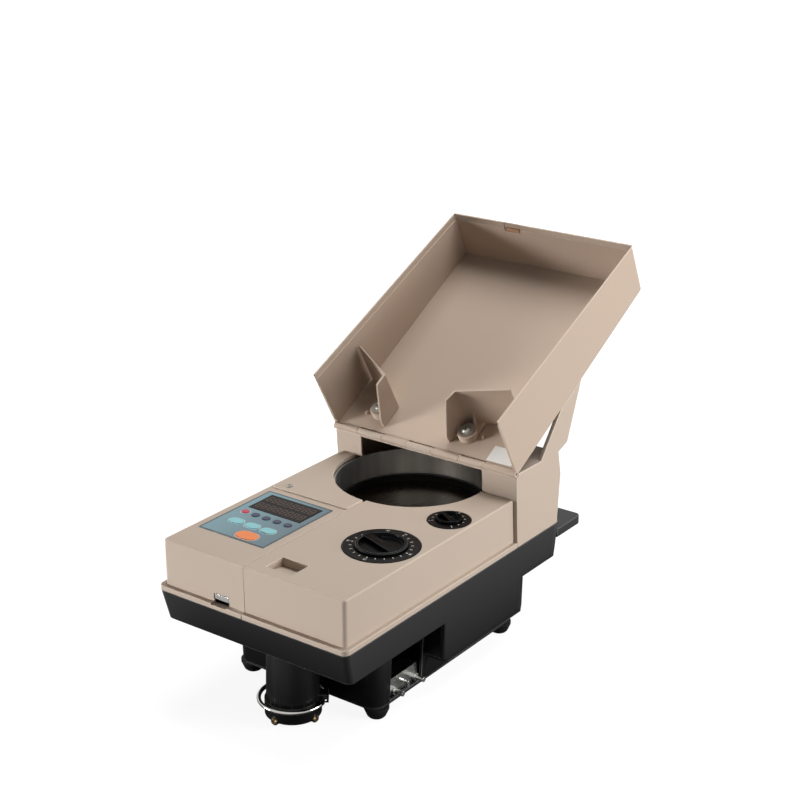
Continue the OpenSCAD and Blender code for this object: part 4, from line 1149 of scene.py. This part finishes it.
@dataclass
class Covers:
    """Beige covers, the bowl plate and the rear housing.

    Attributes:
        cover_round: Rounding of the covers' edges, in millimetres.
        housing_round: Rounding of the rear housing, in millimetres.
        slot_length: Length of the cross slot in the plate's screw, in metres.
        slot_width: Width of that slot, in metres.
    """

    cover_round: float = 0.4
    housing_round: float = 0.8
    slot_length: float = 4.2 * MM
    slot_width: float = 0.8 * MM

    def dress(self, bench: Bench) -> None:
        """Round and paint the covers, and lay the screw's cross in painted shade."""
        bench.soften(COVER_BEIGE, self.cover_round, "left_cover", "right_cover", "bowl_plate")
        bench.soften(COVER_BEIGE, self.housing_round, "rear_housing")
        bench.soften(SCREW_STEEL, 0.0, "cover_screw", sharp=FACET_ANGLE)
        bench.soften(INNER_STEEL, 0.0, "hinge_pin")
        spot = middle("cover_screw")
        place = (spot.x, spot.y, top_of("cover_screw"))
        cross = screw_cross("cover_screw_cross", self.slot_length, self.slot_width, place)
        bench.add(cross, "cover_screw")


@dataclass
class Tray:
    """Fold-over hopper tray with its wings and catch.

    Attributes:
        tray_round: Rounding of the tray's edges, in millimetres.
        wing_round: Rounding of the wings' edges, in millimetres.
        floor_tilt: Slope of the open tray's floor.
        floor_half: Half the thickness of the floor, in metres.
        slot_length: Length of the cross slots in the wing screws, in metres.
        slot_width: Width of those slots, in metres.
        catch_round: Rounding of the catch, in millimetres.
        label_across: Left and right edge of the label across the tray, in metres.
        label_up: Lower and upper edge of the label, up the floor from the hinge.
        label_thick: Thickness of the label, in metres.
    """

    tray_round: float = 0.45
    wing_round: float = 0.4
    floor_tilt: float = math.radians(29.25)
    floor_half: float = 1.25 * MM
    slot_length: float = 5.6 * MM
    slot_width: float = 1.0 * MM
    catch_round: float = 0.2
    label_across: tuple[float, float] = (71.5 * MM, 100.0 * MM)
    label_up: tuple[float, float] = (6.0 * MM, 25.0 * MM)
    label_thick: float = 0.15 * MM

    def at_floor(self, x: float, up: float, rise: float) -> Vector:
        """Turn a place on the tray's floor into the frame.

        Args:
            x: Place across the tray, in metres.
            up: Distance up the floor from the hinge.
            rise: Height over the floor's middle plane.

        Returns:
            The point in the frame.
        """
        hinge = middle("hinge_pin")
        cosine, sine = math.cos(self.floor_tilt), math.sin(self.floor_tilt)
        return Vector((x, hinge.y + up * cosine - rise * sine, hinge.z + up * sine + rise * cosine))

    def dress(self, bench: Bench) -> None:
        """Round and paint the tray and its wings."""
        bench.soften(TRAY_BEIGE, self.tray_round, "hopper_tray")
        bench.soften(TRAY_BEIGE, self.wing_round, "guide_wing_left", "guide_wing_right")
        bench.soften(SCREW_STEEL, 0.0, "wing_screws", sharp=FACET_ANGLE)
        bench.soften(CATCH_TAN, self.catch_round, "tray_catch")
        self.screw_crosses(bench)
        self.label(bench)

    def screw_crosses(self, bench: Bench) -> None:
        """Mark a cross of painted shade on the head of each wing screw."""
        tilt = Matrix.Rotation(self.floor_tilt, 4, "X")
        level = [tilt.inverted() @ corner.co for corner in bench.nodes["wing_screws"].data.vertices]
        between = sum(point.x for point in level) / len(level)
        crosses = []
        for side in (-1, 1):
            head = [point for point in level if side * (point.x - between) > 0]
            across = [point.x for point in head]
            along = [point.y for point in head]
            top = max(point.z for point in head)
            place = ((min(across) + max(across)) / 2, (min(along) + max(along)) / 2, top)
            cross = screw_cross(f"wing_cross_{side + 1}", self.slot_length, self.slot_width, place)
            cross.data.transform(tilt)
            crosses.append(cross)
        bench.add(joined("wing_screw_crosses", crosses), "wing_screws")

    def label(self, bench: Bench) -> None:
        """Lay the blank label on the floor beside the right wall."""
        left, right = self.label_across
        low, high = self.label_up
        corners = [(left, low), (right, low), (right, high), (left, high)]
        faces = [
            [self.at_floor(x, up, rise) for x, up in corners]
            for rise in (self.floor_half, self.floor_half + self.label_thick)
        ]
        bench.add(prism("blank_label", LABEL_WHITE, *faces), "hopper_tray")


@dataclass
class Bowl:
    """Hopper bowl with its steel ring and feed disc.

    Attributes:
        ring_round: Rounding of the ring's edges, in millimetres.
    """

    ring_round: float = 0.25

    def dress(self, bench: Bench) -> None:
        """Paint the bowl, the ring and the disc."""
        bench.soften(BOWL_BLACK, 0.0, "bowl_base")
        bench.soften(RING_STEEL, self.ring_round, "hopper_ring")
        bench.soften(DISC_STEEL, 0.0, "feed_disc")


@dataclass
class Dial:
    """Scale ring with ticks and numbers, and its knob.

    Attributes:
        scale: Node of the scale ring.
        knob: Node of the knob.
        count: Number of ticks.
        start: Angle of the first tick, in degrees.
        step: Angle from tick to tick, in degrees.
        tick_radius: Distance of the ticks' middles from the centre, in metres.
        tick: Length, width and thickness of a tick, in metres.
        numbers: Words by tick index.
        number_radius: Distance of the numbers from the centre, in metres.
        number_height: Height of the numbers, in metres.
        scale_round: Rounding of the scale ring, in millimetres.
        knob_round: Rounding of the knob, in millimetres.
    """

    scale: str
    knob: str
    count: int
    start: float
    step: float
    tick_radius: float
    tick: tuple[float, float, float]
    numbers: dict[int, str]
    number_radius: float
    number_height: float
    scale_round: float = 0.15
    knob_round: float = 0.35

    def dress(self, bench: Bench) -> None:
        """Paint the dial and print its scale."""
        bench.soften(SCALE_BLACK, self.scale_round, self.scale)
        bench.soften(DIAL_BLACK, self.knob_round, self.knob)
        centre = middle(self.scale)
        height = top_of(self.scale)
        long, wide, thick = self.tick
        outline = rounded_box((-long / 2, -wide / 2), (long / 2, wide / 2), 0.2 * wide, 1)
        bar = plate(f"{self.scale}_tick", PRINT_WHITE, outline, -thick / 2, thick / 2)
        spot = (centre.x, centre.y, height)
        angles = (self.count, self.start, self.step)
        ticks = ring_of(f"{self.scale}_ticks", bar, angles, self.tick_radius, spot)
        bench.add(ticks, self.scale)
        marks = [self.number(word, index, centre, height) for index, word in self.numbers.items()]
        bench.add(joined(f"{self.scale}_numbers", marks), self.scale)

    def number(self, word: str, index: int, centre: Vector, height: float) -> bpy.types.Object:
        """Make one number, its foot towards the knob.

        Args:
            word: Figures of the number.
            index: Tick that it stands by.
            centre: Middle of the dial.
            height: Height of the scale's face.

        Returns:
            The number as a thin mesh.
        """
        curve = bpy.data.curves.new(f"number_{word}", "FONT")
        curve.body = word
        curve.size = self.number_height
        curve.align_x = "CENTER"
        curve.align_y = "CENTER"
        curve.extrude = self.tick[2] / 2
        curve.resolution_u = 3
        text = linked(curve.name, curve)
        mesh = evaluated_mesh(text)
        bpy.data.objects.remove(text)
        angle = math.radians(self.start + index * self.step)
        spot = centre + self.number_radius * Vector((math.cos(angle), math.sin(angle), 0))
        turn = Matrix.Rotation(angle - math.pi / 2, 4, "Z")
        mesh.transform(Matrix.Translation((spot.x, spot.y, height)) @ turn)
        mesh.materials.clear()
        mesh.materials.append(PRINT_WHITE.material())
        return linked(f"number_{word}", mesh)


@dataclass(frozen=True)
class KeyStyle:
    """Keys of one colour.

    Attributes:
        finish: Finish of the caps.
        rim: Rim printed round them.
        nodes: Nodes of the keys.
    """

    finish: Finish
    rim: KeyRim
    nodes: tuple[str, ...]


KEY_STYLES = (
    KeyStyle(KEY_RED, KeyRim.PALE, ("key_red",)),
    KeyStyle(KEY_NAVY, KeyRim.NONE, tuple(f"key_navy_{i}" for i in range(1, 5))),
    KeyStyle(KEY_CYAN, KeyRim.PALE, tuple(f"key_cyan_{i}" for i in range(1, 4))),
    KeyStyle(KEY_ORANGE, KeyRim.WARM, ("key_orange",)),
)
RIM_FINISH = {KeyRim.PALE: RIM_PALE, KeyRim.WARM: RIM_WARM}


@dataclass
class KeyPanel:
    """Panel film with its border, display and keys.

    Attributes:
        border: Width of the dark border, in metres.
        rim: Width of the printed rims round the keys, in metres.
        rim_gap: Gap between a key's cap and its rim, in metres.
        print_t: Thickness of printed marks, in metres.
        digits: Figures in each row of the display.
        digit_size: Width and height of a figure, in metres.
        digit_bar: Width of a figure's bars, in metres.
        row_shares: Heights of the two rows, as shares of the display.
        film_round: Rounding of the film and the display, in millimetres.
        key_round: Rounding of the keys, in millimetres.
        corners: Corner radii of the border, outside and inside, in metres.
    """

    border: float = 1.5 * MM
    rim: float = 0.7 * MM
    rim_gap: float = 0.45 * MM
    print_t: float = 0.08 * MM
    digits: int = 8
    digit_size: tuple[float, float] = (5.0 * MM, 10.0 * MM)
    digit_bar: float = 0.8 * MM
    row_shares: tuple[float, float] = (0.28, 0.73)
    film_round: float = 0.1
    key_round: float = 0.25
    corners: tuple[float, float] = (1.0 * MM, 0.4 * MM)

    def dress(self, bench: Bench) -> None:
        """Paint the panel, rim its keys and draw the unlit display."""
        low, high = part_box("panel_overlay")
        film = FadedFilm("panel_film", "#7c99a1", "#66777f", (low[0], high[0]))
        bench.soften(film, self.film_round, "panel_overlay")
        bench.soften(DISPLAY_DARK, self.film_round, "display_window")
        face = high[2]
        for style in KEY_STYLES:
            bench.soften(style.finish, self.key_round, *style.nodes)
            if style.rim is not KeyRim.NONE:
                for node in style.nodes:
                    self.key_rim(bench, node, RIM_FINISH[style.rim], face)
        inset = self.border
        outer, inner = (
            rounded_box((low[0] + grow, low[1] + grow), (high[0] - grow, high[1] - grow), radius)
            for grow, radius in zip((0.0, inset), self.corners)
        )
        frame_band = band("panel_border", BORDER_GREY, inner, outer, face - INK_SINK, face + self.print_t)
        bench.add(frame_band, "panel_overlay")
        self.digit_rows(bench)

    def key_rim(self, bench: Bench, node: str, finish: Finish, face: float) -> None:
        """Print a rim on the film round a key's cap.

        Args:
            bench: Bench with the frame.
            node: Node of the key.
            finish: Finish of the rim.
            face: Height of the film's face.
        """
        cap = [corner.co for corner in bench.nodes[node].data.vertices if corner.co.z > face]
        x0, x1 = min(p.x for p in cap), max(p.x for p in cap)
        y0, y1 = min(p.y for p in cap), max(p.y for p in cap)
        outlines = []
        for grow in (self.rim_gap, self.rim_gap + self.rim):
            radius = 0.49 * (y1 - y0 + 2 * grow)
            outlines.append(rounded_box((x0 - grow, y0 - grow), (x1 + grow, y1 + grow), radius, 8))
        piece = band(f"{node}_rim", finish, *outlines, face - INK_SINK, face + self.print_t)
        bench.add(piece, "panel_overlay")

    def digit_rows(self, bench: Bench) -> None:
        """Lay two rows of unlit figures under the display's face."""
        low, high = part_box("display_window")
        width, tall = self.digit_size
        bar = self.digit_bar
        half_w, half_h = width / 2, tall / 2
        bars = [
            ((-half_w, half_h - bar), (half_w, half_h)),
            ((-half_w, -bar / 2), (half_w, bar / 2)),
            ((-half_w, -half_h), (half_w, -half_h + bar)),
            ((-half_w, bar), (-half_w + bar, half_h - 1.5 * bar)),
            ((half_w - bar, bar), (half_w, half_h - 1.5 * bar)),
            ((-half_w, -half_h + 1.5 * bar), (-half_w + bar, -bar)),
            ((half_w - bar, -half_h + 1.5 * bar), (half_w, -bar)),
        ]
        parts = [
            plate(f"segment_{i}", SEGMENT_GREY, rounded_box(a, b, 0.1 * MM, 1), 0.0, self.print_t)
            for i, (a, b) in enumerate(bars)
        ]
        figure = joined("figure_eight", parts)
        span = high[0] - low[0]
        step = span / (self.digits + 0.6)
        for row, share in enumerate(self.row_shares):
            spot = (low[0] + 0.8 * step, low[1] + share * (high[1] - low[1]), high[2])
            line = grown(
                f"display_row_{row}",
                row_tree(),
                {
                    "Piece": figure,
                    "Count": self.digits,
                    "First": spot,
                    "Step": (step, 0.0, 0.0),
                    "Material": SEGMENT_GREY.material(),
                },
            )
            bench.add(line, "display_window")
        bpy.data.objects.remove(figure)


@dataclass
class InnerWorks:
    """Pieces inside the covers and the base."""

    def dress(self, bench: Bench) -> None:
        """Paint what shows only through openings."""
        bench.paint(
            INNER_STEEL,
            "deck_plate",
            "bearing_housing",
            "motor_bracket",
            "coin_bed",
            "belt_bracket",
            "disc_shaft",
            "dial_cam",
            "guide_rail",
            "thickness_gate",
        )
        bench.paint(BRASS, "click_wheel")
        bench.paint(FOOT_RUBBER, "drive_belt", "coin_belt")
        bench.paint(
            PULLEY_BLACK,
            "disc_pulley",
            "motor_pulley",
            "belt_pulley_front",
            "belt_pulley_rear",
            "sensor_block",
            "display_module",
        )
        bench.paint(MOTOR_GREY, "motor")
        bench.paint(CORE_BROWN, "transformer")
        bench.paint(BOARD_GREEN, "control_board")


# Studio


def facing(place: Sequence[float], aim: Sequence[float]) -> tuple[float, float, float]:
    """Return the turn of a lamp or camera that looks from a place at a point."""
    return tuple((Vector(aim) - Vector(place)).to_track_quat("-Z", "Y").to_euler())


@dataclass(frozen=True)
class SoftBox:
    """Square studio lamp.

    Attributes:
        name: Name of the lamp.
        place: Where it stands, in metres.
        aim: Where it points, in metres.
        size: Width and height, in metres.
        power: Power in watts.
        spread: Angle that a grid before the lamp lets through.
    """

    name: str
    place: tuple[float, float, float]
    aim: tuple[float, float, float]
    size: tuple[float, float]
    power: float
    spread: float = math.pi

    def build(self) -> None:
        """Add the lamp to the scene."""
        data = bpy.data.lights.new(self.name, "AREA")
        data.shape = "RECTANGLE"
        data.size, data.size_y = self.size
        data.energy = self.power
        data.spread = self.spread
        lamp = linked(self.name, data)
        lamp.location = self.place
        lamp.visible_camera = False
        lamp.rotation_euler = facing(self.place, self.aim)


@dataclass
class Studio:
    """Camera, lamps, world and floor.

    Attributes:
        eye: Place of the camera, in metres.
        aim: Point at the middle of the picture, in metres.
        lens: Focal length in millimetres.
        sensor: Width of the sensor in millimetres.
        ambient: Strength of the even light from all round.
        floor_half: Half the floor's width, in metres.
        floor_bounce: Share of light that the floor throws back on the machine.
        floor_shade: Colour of the floor as the camera sees it.
        floor_glow: Strength of the white far from the machine.
        floor_rough: Roughness of the floor.
        footprint: Half the machine's width and depth, in metres.
        seen_reach: Distances from the footprint between which the floor turns white, in metres.
        seen_share: Shares of the white at those distances, seen directly.
        mirror_reach: The same distances for reflections.
        mirror_share: Shares of the white at them, in reflections; with none close by, reflections show the
            floor round the machine dark, a painted shade.
    """

    eye: tuple[float, float, float] = (0.9218, -1.2742, 0.8387)
    aim: tuple[float, float, float] = (-0.00154, -0.02006, 0.25273)
    lens: float = 77.87
    sensor: float = 36.0
    ambient: float = 0.12
    floor_half: float = 6.0
    floor_bounce: float = 0.15
    floor_shade: float = 0.9
    floor_glow: float = 1.2
    floor_rough: float = 0.9
    footprint: tuple[float, float] = (0.11, 0.25)
    seen_reach: tuple[float, float] = (0.3, 1.0)
    seen_share: tuple[float, float] = (0.75, 1.0)
    mirror_reach: tuple[float, float] = (0.02, 0.16)
    mirror_share: tuple[float, float] = (0.0, 0.9)

    def camera(self) -> None:
        """Set the camera at the photograph's place."""
        data = bpy.data.cameras.new("camera")
        data.lens = self.lens
        data.sensor_width = self.sensor
        data.sensor_fit = "HORIZONTAL"
        camera = linked("camera", data)
        camera.location = self.eye
        camera.rotation_euler = facing(self.eye, self.aim)
        bpy.context.scene.camera = camera
        bpy.context.scene.view_settings.view_transform = "Standard"

    def build(self) -> None:
        """Add the lamps, the world and the floor."""
        for lamp in (
            SoftBox("top_box", (0.1, 0.45, 1.7), (0.0, -0.05, 0.15), (1.6, 0.9), 26.0),
            SoftBox("right_box", (1.45, 0.35, 0.4), (0.0, 0.0, 0.2), (0.8, 0.5), 20.5),
            SoftBox("front_box", (-0.95, -1.1, 0.13), (-0.05, -0.2, 0.13), (1.0, 0.3), 1.7, math.radians(28)),
        ):
            lamp.build()
        self.world()
        self.floor()

    def world(self) -> None:
        """Make an even world that looks white to the camera and to reflections."""
        world = bpy.data.worlds.new("studio")
        world.use_nodes = True
        tree = world.node_tree
        glow = tree.nodes["Background"]
        glow.inputs["Color"].default_value = (1.0, 1.0, 1.0, 1.0)
        level = span_node(tree, UNIT_SPAN, (self.ambient, 1.0))
        tree.links.new(self.seen_directly(tree), level.inputs["Value"])
        tree.links.new(level.outputs["Result"], glow.inputs["Strength"])
        bpy.context.scene.world = world

    def seen_directly(self, tree: bpy.types.NodeTree) -> bpy.types.NodeSocket:
        """Add the test for rays of the camera, of reflections and through glass.

        Args:
            tree: Node tree of the world or the floor.

        Returns:
            Socket that is one for such a ray and zero for all others.
        """
        ray = add_node(tree, "ShaderNodeLightPath")
        first = add_node(tree, "ShaderNodeMath", operation="MAXIMUM")
        both = add_node(tree, "ShaderNodeMath", operation="MAXIMUM")
        tree.links.new(ray.outputs["Is Camera Ray"], first.inputs[0])
        tree.links.new(ray.outputs["Is Glossy Ray"], first.inputs[1])
        tree.links.new(first.outputs[0], both.inputs[0])
        tree.links.new(ray.outputs["Is Transmission Ray"], both.inputs[1])
        return both.outputs[0]

    def floor(self) -> None:
        """Lay a pale floor that keeps a soft shadow."""
        half = self.floor_half
        corners = ((-half, -half), (half, -half), (half, half), (-half, half))
        builder = bmesh.new()
        builder.faces.new([builder.verts.new((x, y, 0.0)) for x, y in corners])
        mesh = bpy.data.meshes.new("floor")
        builder.to_mesh(mesh)
        builder.free()
        material = bpy.data.materials.new("floor_white")
        material.use_nodes = True
        tree = material.node_tree
        surface = tree.nodes["Principled BSDF"]
        surface.inputs["Roughness"].default_value = self.floor_rough
        pale = span_node(tree, UNIT_SPAN, (self.floor_bounce, self.floor_shade))
        glow = add_node(tree, "ShaderNodeEmission")
        glow.inputs["Strength"].default_value = self.floor_glow
        place = add_node(tree, "ShaderNodeTexCoord")
        size = add_node(tree, "ShaderNodeVectorMath", operation="ABSOLUTE")
        beyond = add_node(tree, "ShaderNodeVectorMath", operation="SUBTRACT")
        beyond.inputs[1].default_value = (*self.footprint, 0.0)
        sides = add_node(tree, "ShaderNodeSeparateXYZ")
        away = add_node(tree, "ShaderNodeMath", operation="MAXIMUM")
        seen_share = span_node(tree, self.seen_reach, self.seen_share)
        # In reflections the floor stays dark close to the machine and turns white farther off: painted shade
        # round its foot.
        mirror_share = span_node(tree, self.mirror_reach, self.mirror_share)
        kind = add_node(tree, "ShaderNodeMix", data_type="FLOAT")
        share = add_node(tree, "ShaderNodeMath", operation="MULTIPLY")
        blend = add_node(tree, "ShaderNodeMixShader")
        ray = add_node(tree, "ShaderNodeLightPath")
        link = tree.links.new
        link(ray.outputs["Is Camera Ray"], pale.inputs["Value"])
        link(pale.outputs["Result"], surface.inputs["Base Color"])
        link(place.outputs["Object"], size.inputs[0])
        link(size.outputs["Vector"], beyond.inputs[0])
        link(beyond.outputs["Vector"], sides.inputs["Vector"])
        link(sides.outputs["X"], away.inputs[0])
        link(sides.outputs["Y"], away.inputs[1])
        link(away.outputs[0], seen_share.inputs["Value"])
        link(away.outputs[0], mirror_share.inputs["Value"])
        link(ray.outputs["Is Glossy Ray"], kind.inputs["Factor"])
        link(seen_share.outputs["Result"], kind.inputs["A"])
        link(mirror_share.outputs["Result"], kind.inputs["B"])
        link(self.seen_directly(tree), share.inputs[0])
        link(kind.outputs["Result"], share.inputs[1])
        link(share.outputs[0], blend.inputs["Fac"])
        link(surface.outputs[0], blend.inputs[1])
        link(glow.outputs[0], blend.inputs[2])
        link(blend.outputs[0], tree.nodes["Material Output"].inputs["Surface"])
        mesh.materials.append(material)
        linked("floor", mesh)


LARGE_DIAL = Dial(
    scale="large_scale",
    knob="diameter_knob",
    count=21,
    start=83.0,
    step=-16.36,
    tick_radius=28.4 * MM,
    tick=(2.6 * MM, 0.7 * MM, 0.1 * MM),
    numbers={0: "15", 5: "20", 10: "25", 15: "30", 20: "35"},
    number_radius=32.2 * MM,
    number_height=3.4 * MM,
)
SMALL_DIAL = Dial(
    scale="small_scale",
    knob="thickness_knob",
    count=11,
    start=225.0,
    step=-27.0,
    tick_radius=15.4 * MM,
    tick=(1.8 * MM, 0.6 * MM, 0.1 * MM),
    numbers={0: "1", 5: "2", 10: "3"},
    number_radius=18.2 * MM,
    number_height=3.0 * MM,
)


def main() -> None:
    """Load the frame, dress every sub-assembly and set up the studio."""
    logging.basicConfig(level=logging.INFO, format="%(message)s")
    for item in list(bpy.data.objects):
        bpy.data.objects.remove(item)
    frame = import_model()
    bench = Bench.from_frame(frame)
    studio = Studio()
    studio.camera()
    for unit in (BaseUnit(), Covers(), Tray(), Bowl(), LARGE_DIAL, SMALL_DIAL, KeyPanel(), InnerWorks()):
        unit.dress(bench)
    studio.build()


if __name__ == "__main__":
    main()
